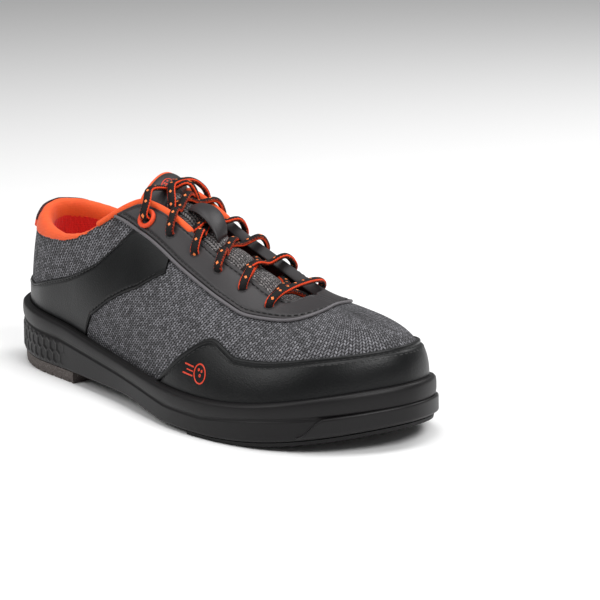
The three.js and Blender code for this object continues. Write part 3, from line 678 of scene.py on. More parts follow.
@dataclass
class Patch:
    """Area of the upper between two stations and two pattern lines, as a layer over the last."""

    left: Line | float
    right: Line | float
    low: Line | float
    high: Line | float
    columns: int
    rows: int
    side_edges: bool = False

    def grid(self) -> tuple[Array, Array, Array]:
        """Stations, heights and distance in millimetres to the nearest cut edge.

        Returns:
            Three (columns, rows) arrays.
        """
        as_line = lambda x: x if callable(x) else (lambda at, x=x: np.full_like(at, float(x)))
        left, right, low, high = (as_line(x) for x in (self.left, self.right, self.low, self.high))
        mid = np.array([0.4])
        span = float((right(mid) - left(mid))[0])
        reach = abs(span) * MM_PER_STATION
        even = np.linspace(0, 1, self.columns + 1)
        a = graded(np.array([reach]), self.columns)[0] if self.side_edges else even
        u0 = left(mid) + (right(mid) - left(mid)) * a
        v0, v1 = low(u0), high(u0)
        samples = v0[:, None] + (v1 - v0)[:, None] * np.linspace(0, 1, 9)
        extent = np.linalg.norm(np.diff(last_point(u0[:, None], samples), axis=1), axis=2).sum(1)
        b = graded(extent, self.rows)
        u = np.broadcast_to(u0[:, None], b.shape).copy()
        for _ in range(4):
            v = low(u) + (high(u) - low(u)) * b
            u = left(v) + (right(v) - left(v)) * a[:, None]
        away = np.minimum(b, 1 - b) * extent[:, None]
        if self.side_edges:
            away = np.minimum(away, np.minimum(a, 1 - a)[:, None] * reach)
        return u, v, away

    def sheet(self, top: Callable[[Array, Array, Array], Array], bottom: Callable[[Array, Array], Array],
              **walls: bool) -> Sheet:
        """Closed layer whose outer depth is top(u, v, away) and whose inner depth is bottom(u, v).

        Args:
            top: Outer depth as a function of station, height and distance to the edge.
            bottom: Inner depth as a function of station and height.
            walls: Sides of the sheet that stay open.

        Returns:
            The closed sheet.
        """
        u, v, away = self.grid()
        ridge = v[:, -1] > 0.9999
        high = ~(ridge[:-1] & ridge[1:])
        return Sheet(off_last(u, v, top(u, v, away)), off_last(u, v, bottom(u, v)), high=high, **walls)


def rounded(thickness: float, radius: float = 0.9, base: float = 0.08, channel: float = 0.0,
            channel_at: float = 2.4) -> Callable[[Array, Array, Array], Array]:
    """Depth of a cut sheet with a rounded edge and a stitched channel beside it.

    Depth = base + thickness * quarter circle of radius mm, less channel * a bell 0.55 mm wide
    at channel_at from the edge.

    Args:
        thickness: Thickness of the leather.
        radius: Radius of its edge.
        base: Height of its lower face over the last.
        channel: Depth of the sewn channel.
        channel_at: Distance of the channel from the edge.

    Returns:
        The depth as a function of station, height and distance to the edge.
    """
    def depth(_u: Array, _v: Array, away: Array) -> Array:
        """Outer depth at a distance from the edge."""
        t = np.clip(away / radius, 0, 1)
        bell = np.exp(-((away - channel_at) / 0.55)**2)
        return base + thickness * np.sqrt(np.clip(1 - (1 - t)**2, 0, 1)) - channel * bell
    return depth


def level(value: float) -> Callable[[Array, Array], Array]:
    """The same depth everywhere."""
    return lambda u, v, *_: np.full(np.shape(u), value)


# ---- materials ----
def linear(code: str) -> tuple[float, float, float, float]:
    """sRGB hex such as "e4652f" to linear red, green, blue and alpha.

    Args:
        code: Six hex digits.

    Returns:
        The colour, with alpha 1.
    """
    c = np.array([int(code[i:i + 2], 16) for i in (0, 2, 4)]) / 255.0
    rgb = np.where(c <= 0.04045, c / 12.92, ((c + 0.055) / 1.055)**2.4)
    return (*rgb.tolist(), 1.0)


def add_node(tree: bpy.types.NodeTree, kind: str, *inputs: object, **settings: object) -> bpy.types.Node:
    """Adds one node with its settings and links.

    Args:
        tree: The material's node tree.
        kind: Node type without its "ShaderNode", such as "Math".
        inputs: The node's first inputs in order: numbers, sockets, or nodes whose first output
            is taken.
        settings: The node's properties, such as operation, and further inputs by name, with
            underscores for spaces, or by number as i6.

    Returns:
        The node.
    """
    node = tree.nodes.new("ShaderNode" + kind)
    given = dict(enumerate(inputs))
    for key, value in settings.items():
        if hasattr(node, key):
            setattr(node, key, value)
        else:
            given[int(key[1:]) if key[1:].isdigit() else key.replace("_", " ")] = value
    for where, value in given.items():
        source = value.outputs[0] if isinstance(value, bpy.types.Node) else value
        if isinstance(source, bpy.types.NodeSocket):
            tree.links.new(source, node.inputs[where])
        else:
            node.inputs[where].default_value = source
    return node


@dataclass(frozen=True)
class Finish:
    """Base of every finish: its material's name, colour and gloss."""

    name: str
    colour: str
    roughness: float = 0.5
    ior: float = 1.5
    metallic: float = 0.0
    sheen: float = 0.0

    def make(self) -> bpy.types.Material:
        """Makes the material: even values on the shader, then this finish's pattern.

        Returns:
            The material.
        """
        material = bpy.data.materials.new(self.name)
        material.use_nodes = True
        tree = material.node_tree
        shader = tree.nodes["Principled BSDF"]
        shader.inputs["Base Color"].default_value = linear(self.colour)
        shader.inputs["Roughness"].default_value = self.roughness
        shader.inputs["Metallic"].default_value = self.metallic
        if not self.metallic:
            shader.inputs["IOR"].default_value = self.ior
        if self.sheen:
            shader.inputs["Sheen Weight"].default_value = self.sheen
            shader.inputs["Sheen Roughness"].default_value = 0.5
        for name, socket in self.pattern(tree).items():
            tree.links.new(socket, shader.inputs[name])
        return material

    def pattern(self, tree: bpy.types.NodeTree) -> Sockets:
        """Nodes of this finish's surface, by the shader input that each result goes to."""
        return {}

    def surface(self, tree: bpy.types.NodeTree, height: bpy.types.Node, depth_mm: float,
                share: bpy.types.Node, other: str) -> Sockets:
        """Relief of a real depth, and this finish's colour turned towards another.

        Args:
            tree: The material's node tree.
            height: The relief, from 0 to 1.
            depth_mm: Its depth.
            share: How far the colour is turned.
            other: Hex code of the other colour.

        Returns:
            Sockets for the shader.
        """
        bump = add_node(tree, "Bump", Strength=1.0, Distance=depth_mm / MM, Height=height)
        colour = add_node(tree, "Mix", share, data_type="RGBA", i6=linear(self.colour), i7=linear(other))
        return {"Normal": bump.outputs[0], "Base Color": colour.outputs[2]}

    def millimetres(self, tree: bpy.types.NodeTree, source: str = "Object") -> bpy.types.Node:
        """Coordinates in millimetres, from the object's own or its UV map."""
        place = add_node(tree, "TexCoord").outputs[source]
        return add_node(tree, "VectorMath", place, operation="SCALE", Scale=MM)


@dataclass(frozen=True)
class GrainedLeather(Finish):
    """Coated synthetic leather: fine pebble grain and soft scuffs that catch the light."""

    ior: float = 1.4
    grain_mm: float = 0.9
    depth_mm: float = 0.05
    scuff: str = "2a2829"

    def pattern(self, tree: bpy.types.NodeTree) -> Sockets:
        """Voronoi pebbles in the bump, slow noise in colour and gloss.

        Args:
            tree: The material's node tree.

        Returns:
            Sockets for the shader.
        """
        place = self.millimetres(tree)
        cells = add_node(tree, "TexVoronoi", feature="F1", Vector=place, Scale=1 / self.grain_mm)
        fine = add_node(tree, "TexNoise", Vector=place, Scale=2.2, Detail=3.0)
        height = add_node(tree, "Math", cells.outputs["Distance"], fine, operation="ADD")
        slow = add_node(tree, "TexNoise", Vector=place, Scale=0.045, Detail=4.0)
        worn = add_node(tree, "Math", slow, 0.55, operation="MULTIPLY")
        gloss = add_node(tree, "MapRange", slow, To_Min=self.roughness - 0.07, To_Max=self.roughness + 0.1)
        base = self.surface(tree, height, self.depth_mm, worn, self.scuff)
        return {**base, "Roughness": gloss.outputs[0]}


@dataclass(frozen=True)
class HeatherKnit(Finish):
    """Coarse knit of dark and pale grey yarns: slanted loops side by side in V-shaped columns."""

    pale: str = "858489"
    # Painted shade: the near-black colour put in the gaps between loops.
    deep: str = "0b0b0c"
    wale_mm: float = 3.7
    course_mm: float = 2.0
    loft_mm: float = 0.4
    climb: float = 0.95

    def pattern(self, tree: bpy.types.NodeTree) -> Sockets:
        """One loop per cell of half a wale by one course, its own grey, with painted shade where loops meet.

        The courses climb towards the middle of each wale: t = (y + climb * distance from the
        wale's edge) / course. Loop height = sin(pi * x share) * sin(pi * t share).

        Args:
            tree: The material's node tree.

        Returns:
            Sockets for the shader.
        """
        place = self.millimetres(tree, "UV")
        split = add_node(tree, "SeparateXYZ", place)
        half = self.wale_mm / 2
        leg = add_node(tree, "Math", split.outputs[0], half, operation="PINGPONG")
        slant = add_node(tree, "Math", leg, self.climb, operation="MULTIPLY")
        risen = add_node(tree, "Math", split.outputs[1], slant, operation="ADD")
        counts = (add_node(tree, "Math", split.outputs[0], half, operation="DIVIDE"),
                  add_node(tree, "Math", risen, self.course_mm, operation="DIVIDE"))
        cell, waves = [], []
        for count in counts:
            share = add_node(tree, "Math", count, operation="FRACT")
            turn = add_node(tree, "Math", share, math.pi, operation="MULTIPLY")
            waves.append(add_node(tree, "Math", turn, operation="SINE"))
            cell.append(add_node(tree, "Math", count, operation="FLOOR"))
        loop = add_node(tree, "Math", *waves, operation="MULTIPLY")
        stitch = add_node(tree, "CombineXYZ", *cell)
        own = add_node(tree, "TexWhiteNoise", noise_dimensions="2D", Vector=stitch)
        melange = add_node(tree, "TexNoise", Vector=place, Scale=0.35, Detail=3.0)
        mixed = add_node(tree, "Math", own.outputs["Value"], melange, operation="MULTIPLY")
        grey = add_node(tree, "Math", mixed, 0.12, operation="ADD")
        share = add_node(tree, "Math", grey, 1.6, operation="MULTIPLY")
        yarn = add_node(tree, "Mix", share, data_type="RGBA", i6=linear(self.colour),
                        i7=linear(self.pale))
        # Painted shade: the colour turns to the deep colour where the loop's relief is low, between the
        # loops.
        full = add_node(tree, "MapRange", loop, From_Min=0.12, From_Max=0.6)
        colour = add_node(tree, "Mix", full, data_type="RGBA", i6=linear(self.deep), i7=yarn.outputs[2])
        fibre = add_node(tree, "TexNoise", Vector=place, Scale=3.5, Detail=2.0)
        round_ = add_node(tree, "Math", loop, 0.6, operation="POWER")
        height = add_node(tree, "Math", fibre, 0.2, round_, operation="MULTIPLY_ADD")
        bump = add_node(tree, "Bump", Strength=1.0, Distance=self.loft_mm / MM, Height=height)
        return {"Normal": bump.outputs[0], "Base Color": colour.outputs[2]}


@dataclass(frozen=True)
class Textile(Finish):
    """Fine woven or brushed textile: threads a fraction of a millimetre apart, with sheen."""

    thread_mm: float = 0.7
    shade: str = "a03012"
    depth_mm: float = 0.12
    source: str = "Object"

    def pattern(self, tree: bpy.types.NodeTree) -> Sockets:
        """Three crossed thread waves and fluff in the bump, slow tone changes in colour.

        Args:
            tree: The material's node tree.

        Returns:
            Sockets for the shader.
        """
        place = self.millimetres(tree, self.source)
        split = add_node(tree, "SeparateXYZ", place)
        waves = []
        for axis in range(3):
            turn = add_node(tree, "Math", split.outputs[axis], math.pi / self.thread_mm, operation="MULTIPLY")
            waves.append(add_node(tree, "Math", turn, operation="SINE"))
        two = add_node(tree, "Math", waves[0], waves[1], operation="ADD")
        crossed = add_node(tree, "Math", two, waves[2], operation="ADD")
        fluff = add_node(tree, "TexNoise", Vector=place, Scale=1.6, Detail=3.0)
        height = add_node(tree, "Math", crossed, 0.2, fluff, operation="MULTIPLY_ADD")
        slow = add_node(tree, "TexNoise", Vector=place, Scale=0.12, Detail=5.0)
        toned = add_node(tree, "Math", slow, 0.8, operation="MULTIPLY")
        return self.surface(tree, height, self.depth_mm, toned, self.shade)


@dataclass(frozen=True)
class MouldedRubber(Finish):
    """Injection-moulded rubber: even satin with a fine spark-eroded texture and faint dust."""

    ior: float = 1.34
    dust: str = "161415"
    texture_mm: float = 0.07

    def pattern(self, tree: bpy.types.NodeTree) -> Sockets:
        """Fine noise in the bump, slow noise in colour.

        Args:
            tree: The material's node tree.

        Returns:
            Sockets for the shader.
        """
        place = self.millimetres(tree)
        fine = add_node(tree, "TexNoise", Vector=place, Scale=1.8, Detail=2.0)
        slow = add_node(tree, "TexNoise", Vector=place, Scale=0.06, Detail=5.0)
        dusty = add_node(tree, "Math", slow, 0.7, operation="MULTIPLY")
        return self.surface(tree, fine, self.texture_mm, dusty, self.dust)


@dataclass(frozen=True)
class FlatLace(Finish):
    """Flat braided polyester: black body, bright edges and slanted flecks, ribs across."""

    edge: str = "f0481a"
    fleck: str = "ff8a4a"
    fleck_pitch_mm: float = 7.2
    rib_mm: float = 0.9
    braid_mm: float = 0.1

    def pattern(self, tree: bpy.types.NodeTree) -> Sockets:
        """V of the UV runs once round the section: the edges lie at 0, 0.5 and 1.

        Edge share = |cos(2 pi V)|, which is bright over 0.86, a little wavy along the lace. A
        fleck is a diamond: distance along + 2.4 * edge share under 0.95 mm.

        Args:
            tree: The material's node tree.

        Returns:
            Sockets for the shader.
        """
        split = add_node(tree, "SeparateXYZ", add_node(tree, "TexCoord").outputs["UV"])
        length = add_node(tree, "Math", split.outputs[0], MM, operation="MULTIPLY")
        turn = add_node(tree, "Math", split.outputs[1], 2 * math.pi, operation="MULTIPLY")
        cosine = add_node(tree, "Math", turn, operation="COSINE")
        edge = add_node(tree, "Math", cosine, operation="ABSOLUTE")
        phase = add_node(tree, "Math", length, 4.2, operation="MULTIPLY")
        wave = add_node(tree, "Math", phase, operation="SINE")
        wavy = add_node(tree, "Math", wave, 0.05, edge, operation="MULTIPLY_ADD")
        bright = add_node(tree, "Math", wavy, 0.86, operation="GREATER_THAN")
        along = add_node(tree, "Math", length, self.fleck_pitch_mm / 2, operation="PINGPONG")
        reach = add_node(tree, "Math", edge, 2.4, along, operation="MULTIPLY_ADD")
        diamond = add_node(tree, "Math", reach, 0.95, operation="LESS_THAN")
        body = add_node(tree, "Mix", bright, data_type="RGBA", i6=linear(self.colour),
                        i7=linear(self.edge))
        colour = add_node(tree, "Mix", diamond, data_type="RGBA", i6=body.outputs[2], i7=linear(self.fleck))
        ribs = add_node(tree, "Math", length, 2 * math.pi / self.rib_mm, operation="MULTIPLY")
        plaits = add_node(tree, "Math", turn, 9.0, operation="MULTIPLY")
        waves = [add_node(tree, "Math", phase, operation="SINE") for phase in (ribs, plaits)]
        height = add_node(tree, "Math", *waves, operation="MULTIPLY")
        bump = add_node(tree, "Bump", Strength=1.0, Distance=self.braid_mm / MM, Height=height)
        return {"Normal": bump.outputs[0], "Base Color": colour.outputs[2]}


@dataclass(frozen=True)
class PressedFelt(Finish):
    """Dense fibre-rubber slide pad: matt grey-brown with pale specks."""

    speck: str = "8d8580"
    fibre_mm: float = 0.25

    def pattern(self, tree: bpy.types.NodeTree) -> Sockets:
        """Speckled colour and a rough fibre bump.

        Args:
            tree: The material's node tree.

        Returns:
            Sockets for the shader.
        """
        place = self.millimetres(tree)
        fibre = add_node(tree, "TexNoise", Vector=place, Scale=1.1, Detail=6.0, Roughness=0.7)
        specks = add_node(tree, "MapRange", fibre, From_Min=0.5, From_Max=0.75)
        return self.surface(tree, fibre, self.fibre_mm, specks, self.speck)


@dataclass(frozen=True)
class StudioPaper(Finish):
    """Seamless paper roll: matt, almost white, with a faint tooth."""

    tooth_mm: float = 0.02

    def pattern(self, tree: bpy.types.NodeTree) -> Sockets:
        """Fine tooth in the bump.

        Args:
            tree: The material's node tree.

        Returns:
            Sockets for the shader.
        """
        fine = add_node(tree, "TexNoise", Vector=self.millimetres(tree), Scale=0.8)
        bump = add_node(tree, "Bump", Strength=1.0, Distance=self.tooth_mm / MM, Height=fine)
        return {"Normal": bump.outputs[0]}


class Wardrobe:
    """Every finish of the shoe, made once."""

    def __init__(self) -> None:
        """Makes the materials."""
        finishes = {
            # Polyurethane-coated microfibre: smooth satin black with a soft highlight.
            "guard": GrainedLeather("coated_microfibre_black", "070809", 0.38, 1.36, scuff="0f1011"),
            # The same cloth in charcoal for the eyestay and tongue panel, a little glossier.
            "stay": GrainedLeather("coated_microfibre_charcoal", "2a2829", 0.42, scuff="403d3f",
                                   depth_mm=0.04),
            # A strip of coated cloth rolled over a cord: its grey is lightened by a painted highlight, which
            # makes it a fine pale line.
            "piping": GrainedLeather("rolled_piping_grey_painted_highlight", "5a575a", 0.42, scuff="726f72"),
            # Coated cloth dyed dark red, duller than the guard.
            "maroon": GrainedLeather("coated_microfibre_maroon", "2c0d12", 0.45, scuff="4a1a1f"),
            # Polyester spacer knit of mixed yarns: flecked grey with painted shade in the gaps between its
            # loops.
            "knit": HeatherKnit("heather_spacer_knit", "303032", 0.85),
            "tongue_knit": HeatherKnit("heather_tongue_knit", "353334", 0.85, pale="949090", wale_mm=3.6,
                                       loft_mm=0.5),
            # Brushed stretch polyester over foam: bright, soft at grazing angles.
            "collar": Textile("brushed_stretch_orange", "f4601c", 0.75, sheen=0.08, shade="de4414",
                              depth_mm=0.08),
            # Looped polyester pile: deep red, matt, with a soft uneven surface.
            "terry": Textile("terry_lining_red", "f0241a", 0.9, sheen=0.08, shade="d01a14", depth_mm=0.2),
            # Warp-knitted polyester lining: flat black, fine and matt.
            "lining": Textile("tricot_lining_black", "121214", 0.85, shade="1c1c1f"),
            # Tubular woven cord round the top eyelets: bright, with a faint thread pattern.
            "cord": Textile("woven_cord_orange", "f0501a", 0.6, shade="cf3410"),
            # Bonded nylon sewing thread: black, half glossy, its twist shown as a fine wave.
            "thread": Textile("bonded_nylon_thread_black", "040404", 0.5, thread_mm=0.4, shade="0c0c0c",
                              depth_mm=0.03),
            # Thick screen-printed ink: even orange that follows the grain under it.
            "emblem": Textile("screen_printed_orange", "e23c1a", 0.5, thread_mm=0.5, shade="b9300f",
                              depth_mm=0.02),
            # Styrene-butadiene rubber straight from the mould: satin, and duller where it slides.
            "rubber": MouldedRubber("moulded_rubber_black", "0f0e0f", 0.46),
            "bumper": MouldedRubber("moulded_rubber_bumper", "141314", 0.42),
            "tread": MouldedRubber("moulded_rubber_tread", "0d0d0e", 0.6),
            # Fibre and rubber pressed into a slide pad: matt grey-brown with pale specks.
            "felt": PressedFelt("pressed_fibre_rubber", "4e4744", 0.85),
            # Flat braided polyester lace: black with bright edges and flecks.
            "lace": FlatLace("braided_polyester_lace", "0c0808", 0.7, 1.35),
            # Acetate film shrunk round the lace's ends: pale and glossy.
            "film": MouldedRubber("acetate_film_tip", "d9cdbd", 0.25, dust="efe6da"),
            # Hidden layers: nylon hook tape, fibre board, EVA foam and the spring steel shank.
            "hook": PressedFelt("nylon_hook_tape", "111112", 0.8, speck="2a2a2b"),
            "board": PressedFelt("pressed_fibre_board", "a08a68", 0.85, speck="b9a37f"),
            "foam": PressedFelt("moulded_eva_foam", "d9d2c4", 0.9, speck="e8e2d6"),
            "steel": MouldedRubber("rolled_spring_steel", "9a9da0", 0.35, metallic=1.0, dust="7d8083"),
            # Seamless paper: nearly white, matt.
            "paper": StudioPaper("studio_paper", "fafafa", 0.9),
        }
        self.made = {key: finish.make() for key, finish in finishes.items()}

    def dress(self, obj: bpy.types.Object, key: str) -> bpy.types.Object:
        """Puts one finish on an object, in place of what it had.

        Args:
            obj: The object.
            key: Key of the finish.

        Returns:
            The object.
        """
        obj.data.materials.clear()
        obj.data.materials.append(self.made[key])
        return obj


@dataclass
class Workshop:
    """Finishes a piece: material, body and the nodes it stands for."""

    wardrobe: Wardrobe
    count: int = 0

    def place(self, obj: bpy.types.Object, finish: str, slot: str, body: str = "shoe_body",
              replaces: Sequence[str] = ()) -> bpy.types.Object:
        """Dresses a piece and ties it to the frame.

        Args:
            obj: The piece, in place.
            finish: Key of its finish.
            slot: The record's material slot; not used.
            body: The body it rides on; left empty, the piece rides on none.
            replaces: CAD nodes that it stands for.

        Returns:
            The piece.
        """
        self.wardrobe.dress(obj, finish)
        if body:
            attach(obj, body)
        if replaces:
            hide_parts(*replaces)
        self.count += 1
        LOG.info("%s: %d faces, %s", obj.name, len(obj.data.polygons), finish)
        return obj

    def shell(self, name: str, sheets: Sequence[Sheet], finish: str, slot: str, body: str = "shoe_body",
              replaces: Sequence[str] = (), crease: float = 40.0) -> bpy.types.Object:
        """One piece from closed sheets."""
        points, quads, uv = join_shells([s.faces() for s in sheets])
        return self.place(new_mesh(name, points, quads, uv, crease=crease), finish, slot, body, replaces)

    def tubes(self, name: str, shells: Sequence[tuple[Array, Array, Array]], finish: str, slot: str,
              body: str = "shoe_body", replaces: Sequence[str] = ()) -> bpy.types.Object:
        """One piece from tube shells."""
        points, quads, uv = join_shells(shells)
        return self.place(new_mesh(name, points, quads, uv, crease=60), finish, slot, body, replaces)

    def stitches(self, name: str, lines: Sequence[tuple[Array, Array]], finish: str, slot: str,
                 body: str = "shoe_body", pitch: float = 3.1, length: float = 2.2,
                 radius: float = 0.33) -> bpy.types.Object:
        """Row of thread stitches along lines given as (points, normals).

        A stitch is a six-sided spindle: half length * cos a along the line and radius * sin a
        round it, flattened to 0.7 across the surface and sunk by a third of its radius.

        Args:
            name: The piece's name.
            lines: Points and normals of each seam.
            finish: Key of its finish.
            slot: The record's material slot; not used.
            body: The body it rides on.
            pitch: Distance from stitch to stitch.
            length: Length of a stitch.
            radius: Half its thickness.

        Returns:
            The piece.
        """
        rings = np.radians([12, 45, 90, 135, 168])
        turn = np.linspace(0, 2 * np.pi, 6, endpoint=False)
        shells = []
        for path, normals in lines:
            both = resample(np.concatenate([path, normals * 1.0], axis=1), pitch)
            centre = (both[:-1, :3] + both[1:, :3]) / 2
            along = unit(both[1:, :3] - both[:-1, :3])
            up = unit((both[:-1, 3:] + both[1:, 3:]) / 2)
            side = unit(np.cross(along, up))
            x = -np.cos(rings)[:, None] * length / 2 * np.ones(6)
            y = np.sin(rings)[:, None] * radius * np.cos(turn)
            z = np.sin(rings)[:, None] * radius * 0.7 * np.sin(turn) - radius * 0.1
            pts = (centre[:, None, None] + x[None, ..., None] * along[:, None, None]
                   + y[None, ..., None] * side[:, None, None] + z[None, ..., None] * up[:, None, None])
            n = len(centre)
            base = np.arange(5 * 6).reshape(5, 6)
            here, after = base[:-1], base[1:]
            quads = np.stack([here, np.roll(here, -1, 1), np.roll(after, -1, 1), after], -1).reshape(-1, 4)
            caps = np.array([[0, 5, 4, 1], [1, 4, 3, 2], [24, 25, 28, 29], [25, 26, 27, 28]])
            local = np.concatenate([quads, caps])
            every = (local[None] + (np.arange(n) * 30)[:, None, None]).reshape(-1, 4)
            shells.append((pts.reshape(-1, 3), every, np.zeros((n * 30, 2))))
        points, quads, uv = join_shells(shells)
        return self.place(new_mesh(name, points, quads, uv, weld=1e-7, crease=80), finish, slot, body)


def surface_line(u: Array, v: Array, depth: float) -> tuple[Array, Array]:
    """Points and normals along a line drawn on the upper."""
    return off_last(u, v, depth), last_normal(u, v)


def below(line: Line, millimetres: float) -> Line:
    """A pattern line moved down the surface by some millimetres."""
    return lambda u: line(u) - millimetres / mm_per_v(u, line(u))


# ---- sole ----
@dataclass
class Sole:
    """Cupsole with its lip bead and embossed heel, toe bumper and the two peel-off pads."""

    heel_columns: int = 220
    front_columns: int = 420
    bead: float = 0.55
    groove: float = 0.4
    hex_mm: float = 7.0
    emboss: float = 0.55
    bumper_t: float = 1.3
    notch_pitch: float = 6.6
    notch_top: float = 2.2

    def groove_z(self, x: Array) -> Array:
        """Height of the groove under the lip band."""
        table = np.interp(x, (0, 66, 113, 160, 183, 215, 300), (25.5, 22.8, 17.8, 13.9, 11.5, 11.2, 20.5))
        return np.maximum(table, rim_bottom(x) + 3)

    def hexagons(self, along: Array, z: Array, x: Array) -> Array:
        """Relief of the hexagon cells: 0 in a cell, 1 on the walls between cells.

        The distance to the nearest of two staggered lattices' centres, by the hexagon norm
        max(|a|, |a|/2 + sqrt(3)/2 |b|); a wall lies where it comes near half the pitch.

        Args:
            along: Distances round the outline.
            z: Heights.
            x: Places along the shoe.

        Returns:
            Relief from 0 to 1.
        """
        size = self.hex_mm
        best = np.full(along.shape, 9e9)
        for shift in (0.0, 0.5):
            a = (along / size + shift) % 1 - 0.5
            b = (z / (size * math.sqrt(3)) + shift) % 1 - 0.5
            a, b = np.abs(a) * size, np.abs(b) * size * math.sqrt(3)
            best = np.minimum(best, np.maximum(a, a / 2 + b * math.sqrt(3) / 2))
        wall = smooth((best - 0.36 * size) / (0.1 * size))
        return wall * (1 - smooth((x - 62) / 14))

    def cupsole(self, shop: Workshop) -> None:
        """The cup: rim, rounded lip band, groove, wall with its relief, rim underneath and recess.

        Args:
            shop: Where pieces are finished.
        """
        back_end, front_end = 3.2, LOOP - 3.2
        u = np.concatenate([np.linspace(0, back_end, self.heel_columns, endpoint=False),
                            np.linspace(back_end, front_end, self.front_columns, endpoint=False),
                            np.linspace(front_end, LOOP, self.heel_columns + 1)])
        base = outline(u)
        x = base[:, 0][:, None]
        along = np.concatenate([[0], np.cumsum(np.linalg.norm(np.diff(base, axis=0), axis=1))])[:, None]
        lip, low = lip_z(x), rim_bottom(x)
        groove = self.groove_z(x)
        band = np.linspace(0, 1, 13)[None]
        arc = np.sqrt(np.clip(1 - (2 * band - 1)**2, 0, 1))
        band_z = lip - 0.3 - (lip - groove - 1.1) * band
        band_in = 0.5 - (self.bead + 0.5) * arc**0.8
        dip = np.linspace(0, 1, 5)[None, 1:]
        dip_z = groove + 0.8 - 1.6 * dip
        dip_in = self.groove * np.sin(np.pi * np.clip(dip, 0, 1)) + 0.45 * (1 - dip)
        wall = np.linspace(0, 1, 26)[None, 1:]
        wall_z = groove - 0.8 - (groove - 0.8 - low - 1.2) * wall
        relief = self.hexagons(np.broadcast_to(along, wall_z.shape), wall_z, x)
        fade = smooth(wall / 0.1) * smooth((1 - wall) / 0.08)
        wall_in = 0.0 - self.emboss * relief * fade - 0.3 * wall
        under_in = np.array([[-0.2, 0.3, 1.2, 3.0, 3.0]])
        under_z = low + np.array([[0.6, 0.1, 0.0, 0.0, 1.6]])
        top_in = np.array([[SOLE_WALL + 1.3, SOLE_WALL + 1.2, SOLE_WALL + 0.7, 1.8, 1.0]])
        top_z = lip + np.array([[-6.0, -1.2, -0.1, 0.3, 0.15]])
        inset, z = (np.concatenate([np.broadcast_to(a, (len(u), a.shape[1])) for a in parts], 1)
                    for parts in ((top_in, band_in, dip_in, wall_in, under_in),
                                  (top_z, band_z, dip_z, wall_z, under_z)))
        xy = outline(np.broadcast_to(u[:, None], inset.shape), inset)
        outer = np.concatenate([xy, z[..., None]], -1)[:, ::-1]
        back = outer.copy()
        back[..., :2] = outline(np.broadcast_to(u[:, None], inset.shape), np.maximum(inset, 0) + 1.2)[:, ::-1]
        back[:, 0, 2] = outer[:, 0, 2] + 0.8
        wallring = Sheet(outer, back, arc_uv(outer), start=False, end=False)
        floor = self.slab(0.05, 8.95, 2.6, lambda q: rim_bottom(q) + 1.4, lambda q: board_top(q) - 2.2)
        shop.shell("cupsole_rubber", [wallring, floor], "rubber", "rubber", replaces=["cupsole"], crease=50)

    def slab(self, s0: float, s1: float, inset: float, bottom: Line, top: Line, chamfer: float = 0.0,
             columns: int = 120, rows: int = 24, notch: Callable[[Array], Array] | None = None) -> Sheet:
        """Flat-lying piece across the sole between two stations of each side.

        Args:
            s0, s1: First and last station.
            inset: How far inside the outline its edge lies.
            bottom, top: Heights as functions of x.
            chamfer: How far the lower edge draws in.
            columns, rows: Grid.
            notch: Extra inset of the lower edge as a function of the station.

        Returns:
            The closed sheet.
        """
        s = np.linspace(s0, s1, columns + 1)
        w = (1 - np.cos(np.pi * np.linspace(0, 1, rows + 1))) / 2
        def face(extra: Array | float, height: Line) -> Array:
            """One face of the slab."""
            a, b = outline(s, inset + extra), outline(LOOP - s, inset + extra)
            p = a[:, None] + (b - a)[:, None] * w[None, :, None]
            return np.concatenate([p, height(p[..., 0])[..., None]], -1)
        extra = chamfer + (notch(s) if notch else 0.0)
        return Sheet(face(0.0, top), face(extra, bottom))

    def bumper(self, shop: Workshop) -> None:
        """Raised band round the front, whose top edge climbs in an S at its lateral end.

        Args:
            shop: Where pieces are finished.
        """
        u = np.linspace(6.93, 11.4, 420)
        share = 0.04 + 0.5 * smooth((u - 6.95) / 0.42)
        x = outline(u)[:, 0]
        low = rim_bottom(x) + 0.9
        high = low + 0.6 + (lip_z(x) - rim_bottom(x) - 4) * share
        height = high - low
        b = graded(height, 8)
        z = low[:, None] + height[:, None] * b
        away = np.minimum(b, 1 - b) * height[:, None]
        ends = np.minimum(u - u[0], u[-1] - u)[:, None] * 32
        t = np.clip(np.minimum(away, ends) / 1.2, 0, 1)
        out = 0.3 + self.bumper_t * np.sqrt(1 - (1 - t)**2)
        uu = np.broadcast_to(u[:, None], z.shape)
        outer = np.concatenate([outline(uu, -out), z[..., None]], -1)
        inner = np.concatenate([outline(uu, np.full_like(z, 0.8)), z[..., None]], -1)
        shop.shell("toe_bumper_band", [Sheet(outer, inner)], "bumper", "rubber", replaces=["toe_bumper"])

    def pads(self, shop: Workshop) -> None:
        """Heel pad with its row of small notches, and the sole pad with a bevelled edge.

        Args:
            shop: Where pieces are finished.
        """
        notch = lambda s: 0.9 * smooth((np.cos(s * 31.0 * 2 * np.pi / self.notch_pitch) - 0.72) / 0.2)
        ground, step, top = (lambda x, z=z: 0.0 * x + z for z in (0.0, self.notch_top, HEEL_PAD_T))
        heel = self.slab(0.12, 3.05, 0.5, ground, step, 0.3, 300, 24, notch)
        block = self.slab(0.12, 3.05, 0.5, step, top, 0.0, 300, 24)
        shop.shell("heel_pad_felt", [heel, block], "felt", "felt", "heel_pad_body", ["heel_pad"], 35)
        sole = self.slab(5.2, 8.85, 0.7, spring, lambda x: spring(x) + SOLE_PAD_T, 0.5, 200, 24)
        shop.shell("sole_pad_rubber", [sole], "tread", "rubber", "sole_pad_body", ["sole_pad"], 35)

    def build(self, shop: Workshop) -> None:
        """Makes every visible piece of the sole and the terry insole; the hidden ones are dressed in main().

        Args:
            shop: Where pieces are finished.
        """
        self.cupsole(shop)
        self.bumper(shop)
        self.pads(shop)
        top = lambda x: board_top(x) + GAP + 4.0
        insole = self.slab(0.2, 8.8, INSET + 4.6, lambda x: board_top(x) + GAP, top)
        shop.shell("insole_terry", [insole], "terry", "lining_red", replaces=["insole"])


